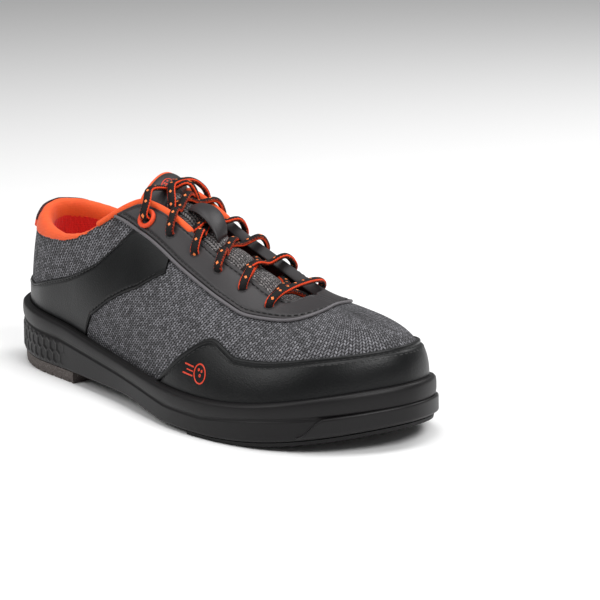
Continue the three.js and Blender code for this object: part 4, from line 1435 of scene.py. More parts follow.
# ---- upper ----
@dataclass
class Upper:
    """Knit shells, linings and leather overlays with their stitching and piping."""

    columns: int = 300
    rows: int = 40

    def seam(self, v: Array) -> Array:
        """Side seam of the knit, hidden under the side panel."""
        return 3 + 1.7 * np.maximum(v, 0)

    def knit(self, shop: Workshop) -> None:
        """Vamp and both quarters of the knit.

        Args:
            shop: Where pieces are finished.
        """
        front = Patch(self.seam, lambda v: LOOP - self.seam(v), HEM, topline, self.columns, self.rows)
        sheet = front.sheet(level(0.0), level(-MESH_T))
        shop.shell("knit_vamp", [sheet], "knit", "knit", replaces=["vamp_mesh"])
        for side in Side:
            sign = -side.value
            near, far = (lambda v: 0 * v), (lambda v, sign=sign: sign * self.seam(v))
            left, right = (near, far) if sign > 0 else (far, near)
            sheet = Patch(left, right, HEM, topline, 130, self.rows).sheet(level(0.0), level(-MESH_T))
            name = side.name.lower()
            shop.shell("knit_quarter_" + name, [sheet], "knit", "knit", replaces=["quarter_mesh_" + name])

    def foam_share(self, u: Array) -> Array:
        """How far round the topline the collar is padded: all of it at the heel, none in front."""
        return 1 - smooth((np.minimum(mirrored(u), 4) - 3.3) / 0.45)

    def lining_depth(self, u: Array, v: Array) -> Array:
        """Depth of the lining's outer face, which stands in for the collar's foam."""
        return LINING_TOP - COLLAR_T * smooth((v - (topline(u) - 0.34)) / 0.09) * self.foam_share(u)

    def linings(self, shop: Workshop) -> None:
        """Black lining of the vamp and the padded red lining of the heel.

        Args:
            shop: Where pieces are finished.
        """
        edge = lambda u: topline(u) - 0.004
        front = Patch(self.seam, lambda v: LOOP - self.seam(v), HEM, edge, 200, 24)
        sheet = front.sheet(level(LINING_TOP), level(LINING_TOP - LINING_T))
        shop.shell("vamp_lining_cloth", [sheet], "lining", "lining_black", replaces=["vamp_lining"])
        back = Patch(lambda v: -self.seam(v), self.seam, HEM, edge, 220, 40)
        ripple = lambda u, v: 0.1 * np.sin(u * 23) * np.sin(v * 40) * self.foam_share(u)
        sheet = back.sheet(lambda u, v, _: self.lining_depth(u, v) + 0 * u,
                           lambda u, v: self.lining_depth(u, v) - LINING_T + ripple(u, v))
        lining = shop.shell("heel_lining_terry", [sheet], "terry", "lining_red", replaces=["collar_lining"])

    def collar(self, shop: Workshop) -> None:
        """Padded collar roll: a soft band over the topline, broad at the heel and thin in front.

        Its section goes from the outer seam up over the edge and down inside: two legs joined
        by half an ellipse of half width a and height h, all shrinking with the station.

        Args:
            shop: Where pieces are finished.
        """
        u = np.linspace(-4.02, 4.02, 420)
        top = topline(u)
        fat = 1 - smooth((np.abs(u) - 1.6) / 2.0)
        heel = 1 - smooth((np.abs(u) - 1.0) / 1.9)
        half = 1.5 + 3.1 * fat
        height = 1.4 + 3.6 * fat + 3.6 * heel
        outer_leg = 1.0 + 1.8 * fat
        inner_leg = 1.4 + 1.6 * fat
        n, r = last_normal(u, top), rise_at(u, top)
        centre = last_point(u, top) - n * (half - 0.5)[:, None]
        a = np.linspace(0, np.pi, 17)[None]
        pucker = 1 + 0.012 * np.sin(u * 7)[:, None] + 0.008 * np.sin(u * 17 + 1)[:, None]
        leg = np.linspace(1, 0, 6)[None, :-1]
        belly = 0.5 * fat[:, None]
        back = leg[:, ::-1]
        xs = np.concatenate([half[:, None] * (1 - 0.12 * leg) + belly * np.sin(np.pi * leg),
                             half[:, None] * np.cos(a) * pucker,
                             -half[:, None] * (1 - 0.1 * back) - belly * np.sin(np.pi * back)], 1)
        zs = np.concatenate([-outer_leg[:, None] * leg, height[:, None] * np.sin(a) * pucker,
                             -inner_leg[:, None] * back], 1)
        grid, core = (centre[:, None] + x[..., None] * n[:, None] + z[..., None] * r[:, None]
                      for x, z in ((xs, zs), (xs * 0.04, zs * 0.97 - 0.1)))
        sheet = Sheet(grid[:, ::-1], core[:, ::-1], arc_uv(grid[:, ::-1]))
        roll = shop.shell("collar_roll", [sheet], "collar", "collar_orange",
                          replaces=["collar_binding", "collar_foam"], crease=70)
        swell(roll, 1.25, 1.0)
        shop.wardrobe.dress(roll, "collar")
        keep = np.abs(u) < 3.3
        seam = (grid[keep, 0] + n[keep] * 0.15, n[keep])
        shop.stitches("collar_seam_stitches", [seam], "thread", "leather_black", pitch=2.6, length=1.8,
                      radius=0.25)

    def throat_cord(self, shop: Workshop) -> None:
        """Orange cord that runs on from the collar along the throat to a rounded end.

        Args:
            shop: Where pieces are finished.
        """
        for side in Side:
            s = np.linspace(3.4, 4.6, 80)
            u = s if side is Side.LATERAL else LOOP - s
            drop = np.linspace(0, 1, 80)**6
            path = off_last(u, topline(u), 0.4 + 0 * s) + rise_at(u, topline(u)) * (0.6 - 0.4 * drop)[:, None]
            radius = 1.5 + 0.4 * smooth((s - 3.5) / 0.3)
            name = side.name.lower()
            shop.tubes("throat_cord_" + name, [tube_shell(path, radius, 14)], "collar", "collar_orange",
                       replaces=["throat_binding_" + name])

    def overlays(self, shop: Workshop) -> None:
        """Toe guard, side panels, eyestay with its piping, heel tab, and their stitches.

        Args:
            shop: Where pieces are finished.
        """
        guard = Patch(4.56, LOOP - 4.56, HEM, guard_top, 420, 26)
        sheet = guard.sheet(rounded(LEATHER_T + 0.5, channel=0.75), level(0.02))
        shop.shell("toe_guard_leather", [sheet], "guard", "leather_black", replaces=["toe_guard"])
        low = lambda u: np.where(mirrored(u) < 3.2, HEM, np.interp(mirrored(u), *np.array(PANEL_FRONT).T)
                                 + HEM * (1 - smooth((mirrored(u) - 3.2) / 0.1)))
        tucked = lambda u: panel_top(u) + 0.03 * smooth((mirrored(u) - 3.75) / 0.25)
        for side in Side:
            ends = (0.0, 4.5) if side is Side.LATERAL else (LOOP - 4.5, LOOP)
            skin = rounded(LEATHER_T - 0.2, channel=0.3, channel_at=1.8)
            sheet = Patch(*ends, low, tucked, 260, 24).sheet(skin, level(0.02))
            name = side.name.lower()
            shop.shell("side_panel_leather_" + name, [sheet], "guard", "leather_black",
                       replaces=["side_panel_" + name])
        self.eyestay(shop)
        tab = Patch(-0.55, 0.55, lambda u: panel_top(u) + 0.01, lambda u: topline(u) - 0.03, 24, 20, True)
        shop.shell("heel_tab_leather", [tab.sheet(rounded(LEATHER_T), level(0.02))], "guard",
                   "leather_black", replaces=["heel_tab"])
        self.pull_tab(shop)
        self.seams(shop)

    def pull_tab(self, shop: Workshop) -> None:
        """Maroon tab sewn up the back of the collar, with a bright patch along its foot.

        Args:
            shop: Where pieces are finished.
        """
        u = np.linspace(-1.3, 1.3, 90)
        top = topline(u)
        n, r = last_normal(u, top), rise_at(u, top)
        a = np.linspace(0, 1, 28)[None]
        across = np.abs(u)[:, None] / 1.3
        edge = np.clip(np.minimum(np.minimum(a, 1 - a) * 12, (1 - across) * 30) / 0.9, 0, 1)
        lift = 0.2 + 0.7 * np.sqrt(1 - (1 - edge)**2)
        rows = (("heel_pull_tab", "maroon", "leather_black", 0.3, 7.6 - 1.6 * across**4),
                ("heel_pull_patch", "cord", "collar_orange", -3.4, 0.3 + 0 * across))
        for name, finish, slot, low, high in rows:
            z = low + (high - low) * a
            out = np.where(z > 0, 5.4 * np.sqrt(np.clip(1 - (np.maximum(z, 0) / 9.4)**2, 0, 1)) - 4.9, 0.5)
            away = n[:, None]
            base = last_point(u, top)[:, None] + z[..., None] * r[:, None] + (out + 0.3)[..., None] * away
            shop.shell(name, [Sheet(base + lift[..., None] * away, base - 0.5 * away)], finish, slot)

    def eyestay(self, shop: Workshop) -> None:
        """Charcoal stay round the throat, with punched holes and a raised piping on its edge.

        Args:
            shop: Where pieces are finished.
        """
        low = lambda u: np.minimum(stay_edge(u) + 0.012, topline(u))
        arms = []
        for ends, walls in (((3.62, 7.18), {"end": False}), ((LOOP - 7.18, LOOP - 3.62), {"start": False})):
            skin = rounded(LEATHER_T + 0.2, channel=0.4)
            arms.append(Patch(*ends, low, topline, 260, 20).sheet(skin, level(0.02), **walls))
        stay = shop.shell("eyestay_leather", arms, "stay", "leather_grey", replaces=["eyestay"])
        self.punch(stay)
        s = np.linspace(3.64, 7.17, 260)
        runs = []
        for side in Side:
            u = s if side is Side.LATERAL else LOOP - s
            runs.append((off_last(u, stay_edge(u) + 0.002, 0.9 + 0 * s), last_normal(u, stay_edge(u))))
        path, normal = (np.concatenate([a, b[::-1]]) for a, b in zip(*runs))
        both = resample(np.concatenate([path, normal], 1), 2.0)
        soft = np.concatenate([resample(path, 2.0), both[:, 3:]], 1)
        kernel = np.ones(5) / 5
        soft[2:-2] = np.stack([np.convolve(soft[:, k], kernel, "valid") for k in range(6)], -1)
        piping = tube_shell(soft[:, :3], 0.9, 10, unit(soft[:, 3:]))
        shop.tubes("eyestay_piping", [piping], "piping", "leather_grey")
        self.throat_edge(shop)

    def throat_edge(self, shop: Workshop) -> None:
        """Folded edge of the stay that turns round the throat's cut layers, from the outer face inwards.

        Args:
            shop: Where pieces are finished.
        """
        strips = []
        a = np.linspace(0, 1, 12)[None]
        for side in Side:
            s = np.linspace(3.62, 6.39, 200)
            u = (s if side is Side.LATERAL else LOOP - s)[:, None]
            top = topline(u)
            scale = mm_per_v(u, top)
            depth = 1.38 - 5.4 * smooth(a)
            bulge = 0.55 * np.sin(np.pi * a)**0.5
            grid = off_last(u, np.minimum(top + bulge / scale, 1.0), depth)
            core = off_last(u, top - 0.8 / scale, depth * 0.9 - 0.1)
            flip = side is Side.MEDIAL
            strips.append(Sheet(grid[::-1] if flip else grid, core[::-1] if flip else core))
        shop.shell("throat_edge_fold", strips, "stay", "leather_grey", crease=70)

    def punch(self, stay: bpy.types.Object) -> None:
        """Cuts the lace holes through the stay with one joined set of cylinders.

        Args:
            stay: The eyestay.
        """
        shells = []
        for s, v in HOLES:
            for u in (s, LOOP - s):
                c, n = off_last(np.array(u), np.array(v), 0.0), last_normal(np.array(u), np.array(v))
                path = c + n * np.array([-1.5, 4.0])[:, None]
                side = unit(np.cross(n, [0, 0, 1.0]))
                shells.append(tube_shell(path, 2.6, 20, np.stack([side, side]), 1.0))
        points, quads, _ = join_shells(shells)
        cutter = new_mesh("hole_punch", points, quads)
        change = stay.modifiers.new("punch", "BOOLEAN")
        change.operation, change.object, change.solver = "DIFFERENCE", cutter, "EXACT"
        bake_modifiers(stay)
        bpy.data.objects.remove(cutter)

    def seams(self, shop: Workshop) -> None:
        """Stitch rows along every overlay edge.

        Args:
            shop: Where pieces are finished.
        """
        u = np.linspace(4.75, LOOP - 4.75, 700)
        guard = [surface_line(u, below(guard_top, d)(u), LEATHER_T + lift)
                 for d, lift in ((2.4, -0.1), (4.6, 0.55))]
        bold = {"pitch": 3.4, "length": 2.5, "radius": 0.46}
        shop.stitches("toe_guard_stitches", guard, "thread", "leather_black", **bold)
        lines, stay = [], []
        for flip in (False, True):
            turn = (lambda s: LOOP - s) if flip else (lambda s: s)
            s = np.linspace(0.02, 3.9, 260)
            lines.append(surface_line(turn(s), below(panel_top, 1.6)(turn(s)), LEATHER_T + 0.02))
            front = lambda q: np.interp(mirrored(q), *np.array(PANEL_FRONT).T)
            s = np.linspace(3.42, 4.4, 90)
            lines.append(surface_line(turn(s), below(front, -2.0)(turn(s)), LEATHER_T + 0.02))
            s = np.linspace(3.68, 7.1, 300)
            inner = below(stay_edge, -3.6)(turn(s))
            stay.append(surface_line(turn(s), np.minimum(inner, topline(turn(s)) - 0.02), LEATHER_T + 0.22))
            s = np.linspace(4.3, 6.2, 160)
            stay.append(surface_line(turn(s), below(topline, 2.0)(turn(s)), LEATHER_T + 0.22))
        shop.stitches("side_panel_stitches", lines, "thread", "leather_black")
        shop.stitches("eyestay_stitches", stay, "thread", "leather_black", **bold)

    def build(self, shop: Workshop) -> None:
        """Makes the whole upper.

        Args:
            shop: Where pieces are finished.
        """
        self.knit(shop)
        self.linings(shop)
        self.collar(shop)
        self.throat_cord(shop)
        self.overlays(shop)


# ---- tongue ----
def tongue_point(s: Array, w: Array, lift: Array | float = 0.0) -> Array:
    """Top face of the tongue: an arch from side to side, carried straight on above the throat.

    Args:
        s: Station along the throat; under 4 it runs on in a straight line.
        w: Place across, from -1 to 1.
        lift: Height over the face.

    Returns:
        (..., 3) points.
    """
    s, w, lift = (np.asarray(a, float) for a in np.broadcast_arrays(s, w, lift))
    def face(at: Array, across: Array) -> Array:
        """The arch itself, at station at."""
        v = 0.62 + 0.14 * smooth((at - 5.4) / 0.8)
        deep = np.full(at.shape, TONGUE_DEPTH)
        a, b = (off_last(u, v, deep) for u in (at, LOOP - at))
        ta, tb = (unit(last_point(u, v + 0.02) - last_point(u, v - 0.02)) for u in (at, LOOP - at))
        crest = on_loop(THROAT_LOOP, at)[..., 2] + TONGUE_DEPTH - 3 * smooth((at - 4) / 0.7)
        reach = ((crest - (a[..., 2] + b[..., 2]) / 2) / (0.375 * (ta[..., 2] + tb[..., 2])))[..., None]
        t = ((across + 1) / 2)[..., None]
        return ((1 - t)**3 * a + 3 * (1 - t)**2 * t * (a + ta * reach)
                + 3 * (1 - t) * t**2 * (b + tb * reach) + t**3 * b)
    def whole(at: Array, across: Array) -> Array:
        """The face with its straight part, whose sides lift towards the free end."""
        p = face(np.maximum(at, 4), across)
        free = smooth((4.12 - at) / 0.46)
        wide = across**2 * free
        medial = across > 0
        flare = np.where(medial, 3.5, -6.0) * wide
        p = p + np.stack([6.0 * free, 4.0 * free + flare, np.where(medial, 17.0, 13.0) * wide], -1)
        four = np.full(at.shape, 4.0)
        run = unit(face(four, across) - face(four + 0.2, across))
        return p + run * (np.maximum(4 - at, 0) * STATION_L)[..., None]
    p = whole(s, w)
    at = np.maximum(s, 4.02)
    ds = whole(at + 0.02, w) - whole(at - 0.02, w)
    dw = whole(at, np.minimum(w + 0.02, 1)) - whole(at, np.maximum(w - 0.02, -1))
    return p + unit(np.cross(ds, dw)) * lift[..., None]


def tongue_top(w: Array) -> Array:
    """Station of the tongue's top edge, lower towards its sides."""
    return 4 - TONGUE_EXTRA / STATION_L + 0.12 * w**4


@dataclass
class Tongue:
    """Padded tongue with a leather top panel, orange binding and lace keeper; its emblem is made in main().
    """

    base: float = 6.3
    keeper_l: float = 23.0
    keeper_w: float = 13.0
    keeper_t: float = 1.3

    def pad(self, shop: Workshop, name: str, high: float, low: float, finish: str, slot: str, node: str,
            crown: float, share: float = 1.0) -> bpy.types.Object:
        """One layer of the tongue, swollen in its middle and thin at its edges.

        Lift = high + crown * (1 - w^4) * (1 - t^8), where t goes from -1 to 1 along it.

        Args:
            shop: Where pieces are finished.
            name: The piece's name.
            high: Lift of the upper face.
            low: Lift of the lower face.
            finish: Key of its finish.
            slot: The record's material slot; not used.
            node: CAD node that it stands for.
            crown: Extra lift in the middle.
            share: Share of the tongue's width that it covers.

        Returns:
            The piece.
        """
        w = np.sin(np.linspace(-np.pi / 2, np.pi / 2, 49)) * share
        a = np.linspace(0, 1, 141)
        s = tongue_top(w)[None] + (self.base - tongue_top(w))[None] * a[:, None]
        ww = np.broadcast_to(w[None], s.shape)
        dome = (1 - (ww / share)**4) * (1 - (2 * a[:, None] - 1)**8)
        crossings = np.array([(a0 + a1) / 2 for (a0, _), (a1, _) in zip(HOLES[:-1], HOLES[1:])] + [4.06])
        gap = np.abs(s[..., None] - crossings).min(-1)
        puff = crown * 2.2 * smooth((gap - 0.05) / 0.1) * (1 - ww**2)**2 * smooth((s - 4.15) / 0.1)
        top = tongue_point(s, ww, high - 0.6 + (crown + 0.6) * dome + puff)
        bottom = tongue_point(s, ww, low + 0.5 - 0.5 * dome)
        layer = Sheet(top, bottom, arc_uv(top)[..., ::-1])
        return shop.shell(name, [layer], finish, slot, "tongue_body", [node])

    def build(self, shop: Workshop) -> None:
        """Makes every piece of the tongue.

        Args:
            shop: Where pieces are finished.
        """
        pad = self.pad(shop, "tongue_knit", 0.0, -TONGUE_T, "tongue_knit", "knit", "tongue", 0.6)
        slope = unit(np.array([122.0, 0.0, -54.0]))
        swell(pad, 2.0, 0.7, (np.array([0.0, 1.0, 0.0]), slope))
        shop.wardrobe.dress(pad, "tongue_knit")
        under = -TONGUE_T - 0.1
        self.pad(shop, "tongue_lining_cloth", under, under - LINING_T, "lining", "lining_black",
                 "tongue_lining", 0.0, 0.97)
        self.panel(shop)
        self.binding(shop)
        self.keeper(shop)

    def panel(self, shop: Workshop) -> None:
        """Leather panel at the tongue's top, with a stitch row along its lower edge.

        Args:
            shop: Where pieces are finished.
        """
        w = np.sin(np.linspace(-np.pi / 2, np.pi / 2, 41)) * 0.97
        a = np.linspace(0, 1, 41)
        start, end = tongue_top(w) + 0.004, 4.12 + 0 * w
        s = start[None] + (end - start)[None] * a[:, None]
        ww = np.broadcast_to(w[None], s.shape)
        edge = np.minimum(np.minimum(a, 1 - a)[:, None] * 22, (0.97 - np.abs(ww)) * 25)
        round_ = np.sqrt(np.clip(1 - (1 - np.clip(edge / 1.2, 0, 1))**2, 0, 1))
        dome = 1.0 + 0.9 * (1 - ww**4) * (1 - (2 * a[:, None] - 1)**8)
        top = tongue_point(s, ww, dome * (0.25 + 0.75 * round_) + 0.2)
        bottom = tongue_point(s, ww, -0.8)
        shop.shell("tongue_panel_leather", [Sheet(top, bottom)], "stay", "leather_grey", "tongue_body",
                   ["tongue_top_panel"])
        w = np.linspace(-0.85, 0.85, 80)
        row = tongue_point(4.12 - 0.04 + 0 * w, w, 1.5)
        up = unit(tongue_point(4.1 + 0 * w, w, 2.5) - row)
        shop.stitches("tongue_panel_stitches", [(row, up)], "thread", "leather_black", "tongue_body")

    def binding(self, shop: Workshop) -> None:
        """Orange binding over the tongue's upper edge and down both its sides.

        Args:
            shop: Where pieces are finished.
        """
        w = np.linspace(-1, 1, 90)
        rim = tongue_point(tongue_top(w) - 0.01, w * 0.985, -0.6 - 0.4 * w**2)
        s = np.linspace(tongue_top(np.array(1.0)), 4.02, 30)[1:]
        left = tongue_point(s, -0.985 + 0 * s, -1.0)[::-1]
        right = tongue_point(s, 0.985 + 0 * s, -1.0)
        path = resample(np.concatenate([left, rim, right]), 1.2)
        shop.tubes("tongue_edge_binding", [tube_shell(path, 1.5, 12)], "collar", "collar_orange",
                   "tongue_body", ["tongue_binding"])

    def keeper(self, shop: Workshop) -> None:
        """Leather loop that holds the laces: two feet and an arch over the crossing.

        Args:
            shop: Where pieces are finished.
        """
        middle = (HOLES[3][0] + HOLES[4][0]) / 2
        half = self.keeper_l / 2 / STATION_L
        s = np.linspace(middle - half, middle + half, 60)
        w = np.linspace(-1, 1, 21)
        rise = 2 * LACE_D + 4.2 * GAP
        height = GAP + 0.5 + (rise + 0.5) * np.sin(np.pi * np.linspace(0, 1, 60))**0.62
        ss, ww = np.meshgrid(s, w * self.keeper_w / 60, indexing="ij")
        edge = np.sqrt(np.clip(1 - np.abs(w)**8, 0, 1))[None]
        lift = np.broadcast_to(height[:, None], ss.shape)
        top = tongue_point(ss, ww, lift + self.keeper_t * (0.35 + 0.65 * edge))
        bottom = tongue_point(ss, ww, lift)
        shop.shell("lace_keeper_loop", [Sheet(top, bottom)], "stay", "leather_grey", "tongue_body",
                   ["tongue_keeper"])


# ---- lacing ----
@dataclass
class Lacing:
    """Flat lace on its real route, its tips, and the corded rings of the top holes."""

    width: float = 4.6
    flat: float = 0.66
    aglet_l: float = 18.0

    def half(self, side: int) -> Array:
        """Route of one half: down the first hole, up each next one, crossing over between.

        Args:
            side: -1 for the half whose first hole is lateral, 1 for the other.

        Returns:
            (n, 3) points from the middle of the bar to the lace's end.
        """
        over_stay = 0.7 + LEATHER_T + LACE_D / 2 + GAP
        under = LINING_TOP - LINING_T - 4.1 * GAP - LACE_D / 2
        on_tongue = LACE_D / 2 + 1.6 * GAP
        second = LACE_D + GAP + 0.2
        on = lambda s, v, lift, at: off_last(np.array(s if at < 0 else LOOP - s), np.array(v), np.array(lift))
        across = lambda s, w, lift: tongue_point(np.array(s), np.array(w), np.array(lift))
        through = lambda s, v, at: [on(s, v, lift, at) for lift in (under, -2.4, 0, over_stay - 0.5)]
        top = lambda s: float(topline(np.array(s)))
        at = side
        s1, v1 = HOLES[0]
        points = [on(s1 + 0.02, v1 + 0.07, over_stay + 0.5, at), *through(s1, v1, at)[::-1]]
        for row in range(1, len(HOLES)):
            s0, (s, v) = HOLES[row - 1][0], HOLES[row]
            middle = (s0 + s) / 2
            over = second if side < 0 else 0.0
            if row == 1:
                points += [on(s0 - 0.02, v1 + 0.07, under, at),
                           across(middle + 0.05, 0.4 * at, on_tongue + 0.3)]
            else:
                points += [on(s0 - 0.04, top(s0) + 0.03, over_stay + 0.4, at),
                           across(middle + 0.05, 0.4 * at, on_tongue + over / 2 + 1.6)]
            points.append(across(middle, 0, on_tongue + over))
            at = -at
            points.append(across(middle - 0.07, 0.45 * at, on_tongue + over / 3))
            points += [on(s + 0.02, v + 0.045, under, at), *through(s, v, at)]
        s6, v6 = HOLES[-1]
        points += [on(s6, v6, over_stay + 1.6, at), on(s6 - 0.01, v6 + 0.07, over_stay + 2.6, at),
                   on(s6 - 0.08, top(s6) + 0.07, over_stay, at),
                   across(4.06, 0, on_tongue + (second if side < 0 else 0))]
        at = -at
        points += [across(4.14, 0.2 * at, on_tongue + 1.8 * second),
                   across(4.23, 0.4 * at, on_tongue + second + 0.4),
                   on(4.27, 0.74, under - 0.4, at), on(4.29, 0.68, under - 0.8, at)]
        return np.array(points)

    def build(self, shop: Workshop) -> None:
        """Makes the lace, its two tips and the cord rings.

        Args:
            shop: Where pieces are finished.
        """
        lateral, medial = self.half(-1), self.half(1)
        dense = centripetal(np.concatenate([lateral[::-1], medial]), 10)
        path = resample(dense, 1.1)
        kernel = np.array([1, 2, 3, 2, 1]) / 9
        padded = np.pad(path, ((2, 2), (0, 0)), "edge")
        smoothed = np.stack([np.convolve(padded[:, k], kernel, "valid") for k in range(3)], -1)
        ribbon = tube_shell(smoothed, self.width / 2, 12, self.normals(smoothed), self.flat)
        lace = shop.tubes("lace_flat", [ribbon], "lace", "lace", "", ["lace"])
        self.hang(lace)
        for name, points in (("lateral", medial), ("medial", lateral)):
            run = unit(points[-1] - points[-2])
            line = points[-1] + run * np.linspace(GAP, GAP + self.aglet_l, 12)[:, None]
            tip = shop.tubes("aglet_tip_" + name, [tube_shell(line, 1.25, 12)], "film", "aglet", "",
                             ["aglet_" + name])
            self.hang(tip)
        self.rings(shop)

    def normals(self, path: Array) -> Array:
        """Direction of the lace's thin side, turning as little as it can along the path.

        It starts across the path near the vertical, is carried along by projecting it off each
        tangent, and leans a little towards the upper's outside at each step.

        Args:
            path: (n, 3) points of the lace.

        Returns:
            (n, 3) unit vectors.
        """
        tangent = unit(np.gradient(path, axis=0))
        out = unit(path - (path.mean(0) * [0, 1, 0] + path * [1, 0, 0] + np.array([0, 0, -20.0])))
        normal = np.zeros_like(path)
        n = out[0]
        for i, t in enumerate(tangent):
            n = n + 0.12 * out[i] * (1 if np.dot(n, out[i]) >= 0 else -1)
            n = unit(n - t * np.dot(n, t))
            normal[i] = n
        return normal

    def hang(self, piece: bpy.types.Object) -> None:
        """Bakes the piece's transform into its mesh; the place of the tongue's crest is worked out but not
        used.

        Args:
            piece: The piece.
        """
        crest = to_frame(tongue_point(np.array([4.1, 5.9]), np.array([0.0, 0.0]), np.array([0.0, 0.0])))
        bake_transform(piece)

    def rings(self, shop: Workshop) -> None:
        """Corded ring on each top hole.

        Args:
            shop: Where pieces are finished.
        """
        s, v = HOLES[-1]
        a = np.linspace(0, 2 * np.pi, 48, endpoint=False)
        for side in Side:
            u = np.array(s if side is Side.LATERAL else LOOP - s)
            centre, n = off_last(u, np.array(v), np.array(LEATHER_T + 0.9)), last_normal(u, np.array(v))
            e1 = unit(np.cross(n, [0, 0, 1.0]))
            e2 = np.cross(n, e1)
            ring = centre + 4.3 * (np.cos(a)[:, None] * e1 + np.sin(a)[:, None] * e2)
            up = np.broadcast_to(n, ring.shape)
            name = side.name.lower()
            shop.tubes("cord_ring_" + name, [tube_shell(ring, 1.25, 12, up, closed=True)], "cord", "cord",
                       replaces=["eyelet_ring_" + name])


# ---- emblem ----
@dataclass
class Emblem:
    """Plain mark of a ball with three finger holes and two speed lines, printed in orange."""

    radius: float = 4.8

    def strokes(self) -> list[Array]:
        """Lines of the mark in its own plane, in millimetres.

        Returns:
            (n, 2) lines.
        """
        a = np.linspace(0, 2 * np.pi, 40)
        ring = lambda x, y, r: np.stack([x + r * np.cos(a), y + r * np.sin(a)], -1)
        r = self.radius
        marks = [ring(0, 0, r), ring(1.35, 1.7, 0.5), ring(-1.2, 1.9, 0.5), ring(0.3, -0.7, 0.6)]
        for y, x0 in ((2.2, -13.5), (0.0, -11.5), (-2.2, -14.5)):
            marks.append(np.stack([np.linspace(x0, -r - 1.2, 24), np.full(24, y)], -1))
        return marks

    def build(self, shop: Workshop, name: str, place: Callable[[Array, Array], tuple[Array, Array]],
              scale: float, body: str) -> None:
        """Lays the strokes on a surface.

        Args:
            shop: Where pieces are finished.
            name: The piece's name.
            place: Turns plane coordinates into points and normals on the surface.
            scale: Size of the mark.
            body: The body it rides on.
        """
        shells = []
        for stroke in self.strokes():
            dense = resample(stroke, 0.35) * scale
            points, normals = place(dense[:, 0], dense[:, 1])
            shells.append(tube_shell(points, (0.4 if len(dense) > 20 else 0.3) * scale, 8, normals, 0.35))
        shop.tubes(name, shells, "emblem", "collar_orange", body)


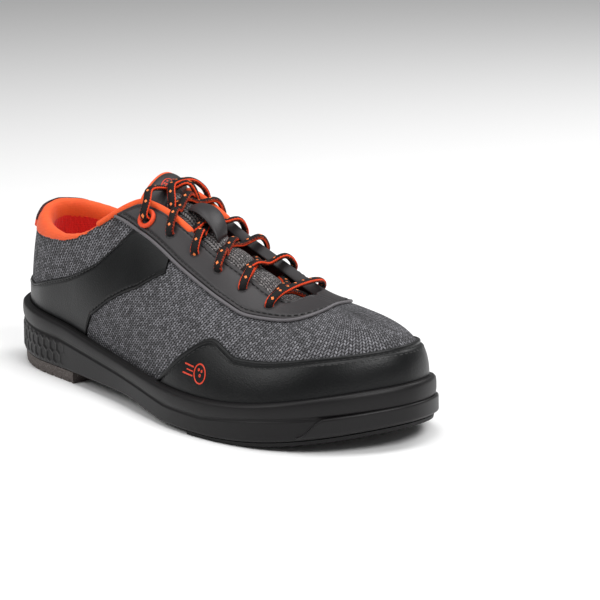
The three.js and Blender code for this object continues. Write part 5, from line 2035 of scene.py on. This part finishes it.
# ---- studio ----
@dataclass
class Studio:
    """Pale floor, soft lights and the camera."""

    azimuth: float = 49.32
    elevation: float = 13.03
    roll: float = -1.13
    distance: float = 1309.9
    lens_mm: float = 146.73
    sensor_mm: float = 36.0
    target: tuple[float, float, float] = (150.0, 0.0, 45.0)
    offset: tuple[float, float] = (49.43, 5.74)

    def camera(self) -> None:
        """Camera on a sphere round the target, moved sideways and up by the offset."""
        a, e, r = (math.radians(x) for x in (self.azimuth, self.elevation, self.roll))
        back = Vector((math.sin(a) * math.cos(e), -math.cos(a) * math.cos(e), math.sin(e)))
        right = Vector((math.cos(a), math.sin(a), 0.0))
        up = back.cross(right)
        across = right * math.cos(r) + up * math.sin(r)
        above = -right * math.sin(r) + up * math.cos(r)
        target = Vector(to_frame(np.array(self.target)))
        place = target + (back * self.distance + right * self.offset[0] + up * self.offset[1]) / MM
        data = bpy.data.cameras.new("studio_camera")
        data.sensor_width = self.sensor_mm
        data.lens = self.lens_mm
        data.clip_end = 20.0
        camera = bpy.data.objects.new("studio_camera", data)
        bpy.context.scene.collection.objects.link(camera)
        turn = Matrix((across, above, back)).transposed().to_4x4()
        camera.matrix_world = Matrix.Translation(place) @ turn
        bpy.context.scene.camera = camera

    def lights(self) -> None:
        """Large soft lights, an even white sky and a plain view of the colours."""
        # Place in metres, size in metres and power in watts of each lamp.
        spots = [((-0.5, -1.2, 1.2), 0.9, 10.0), ((1.2, -0.1, 1.2), 0.7, 15.0),
                 ((0.2, 1.2, 1.2), 0.8, 9.0), ((0.0, 0.0, 1.9), 1.2, 17.0)]
        for i, (place, size, power) in enumerate(spots):
            data = bpy.data.lights.new(f"soft_light_{i}", "AREA")
            data.size, data.energy = size, power
            light = bpy.data.objects.new(f"soft_light_{i}", data)
            bpy.context.scene.collection.objects.link(light)
            light.location = place
            light.rotation_euler = (-Vector(place)).to_track_quat("-Z", "Y").to_euler()
        world = bpy.data.worlds.new("studio_sky")
        world.use_nodes = True
        sky = world.node_tree.nodes["Background"]
        sky.inputs[0].default_value = linear("ffffff")
        sky.inputs[1].default_value = 0.2
        bpy.context.scene.world = world
        bpy.context.scene.view_settings.view_transform = "Standard"

    def floor(self, wardrobe: Wardrobe) -> None:
        """Large paper floor under the shoe.

        Args:
            wardrobe: The shoe's finishes.
        """
        mesh = bpy.data.meshes.new("floor")
        mesh.from_pydata([(-6, -6, 0), (6, -6, 0), (6, 6, 0), (-6, 6, 0)], [], [(0, 1, 2, 3)])
        floor = bpy.data.objects.new("floor", mesh)
        bpy.context.scene.collection.objects.link(floor)
        wardrobe.dress(floor, "paper")


# Nodes inside the shoe that keep their own shape, and their finishes.
HIDDEN = {"heel_pad_backing": "hook", "heel_hook_layer": "hook", "sole_pad_backing": "hook",
          "sole_hook_layer": "hook", "heel_wedge": "foam", "shank": "steel", "insole_board": "board",
          "toe_puff": "board", "heel_counter": "board", "washer_lateral": "steel", "washer_medial": "steel"}


def main() -> None:
    """Builds the shoe piece by piece, then the studio."""
    logging.basicConfig(level=logging.INFO, format="%(name)s: %(message)s")
    wardrobe = Wardrobe()
    studio = Studio()
    studio.camera()
    studio.lights()
    studio.floor(wardrobe)
    shop = Workshop(wardrobe)
    Lacing().build(shop)
    Sole().build(shop)
    Upper().build(shop)
    Tongue().build(shop)
    guard_u, guard_v = 5.33, 0.2
    def on_guard(x: Array, y: Array) -> tuple[Array, Array]:
        """Plane of the toe guard's lateral peak: x along the shoe, y up the wall."""
        u = guard_u + x / 56.0
        v = guard_v + y / mm_per_v(np.full_like(x, guard_u), np.full_like(x, guard_v))
        return surface_line(u, v, LEATHER_T + 0.62)
    def on_tongue(x: Array, y: Array) -> tuple[Array, Array]:
        """Plane of the tongue's top panel: x across, y towards its top edge."""
        s, w = 3.9 - y / STATION_L, -x / 24.0 - 0.1
        p = tongue_point(s, w, 2.15)
        return p, unit(tongue_point(s, w, 3.0) - p)
    mark = Emblem()
    mark.build(shop, "emblem_guard", on_guard, 1.0, "shoe_body")
    mark.build(shop, "emblem_tongue", on_tongue, 0.95, "tongue_body")
    for node, finish in HIDDEN.items():
        wardrobe.dress(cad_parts[node], finish)
    LOG.info("%d pieces", shop.count)


if __name__ == "__main__":
    main()
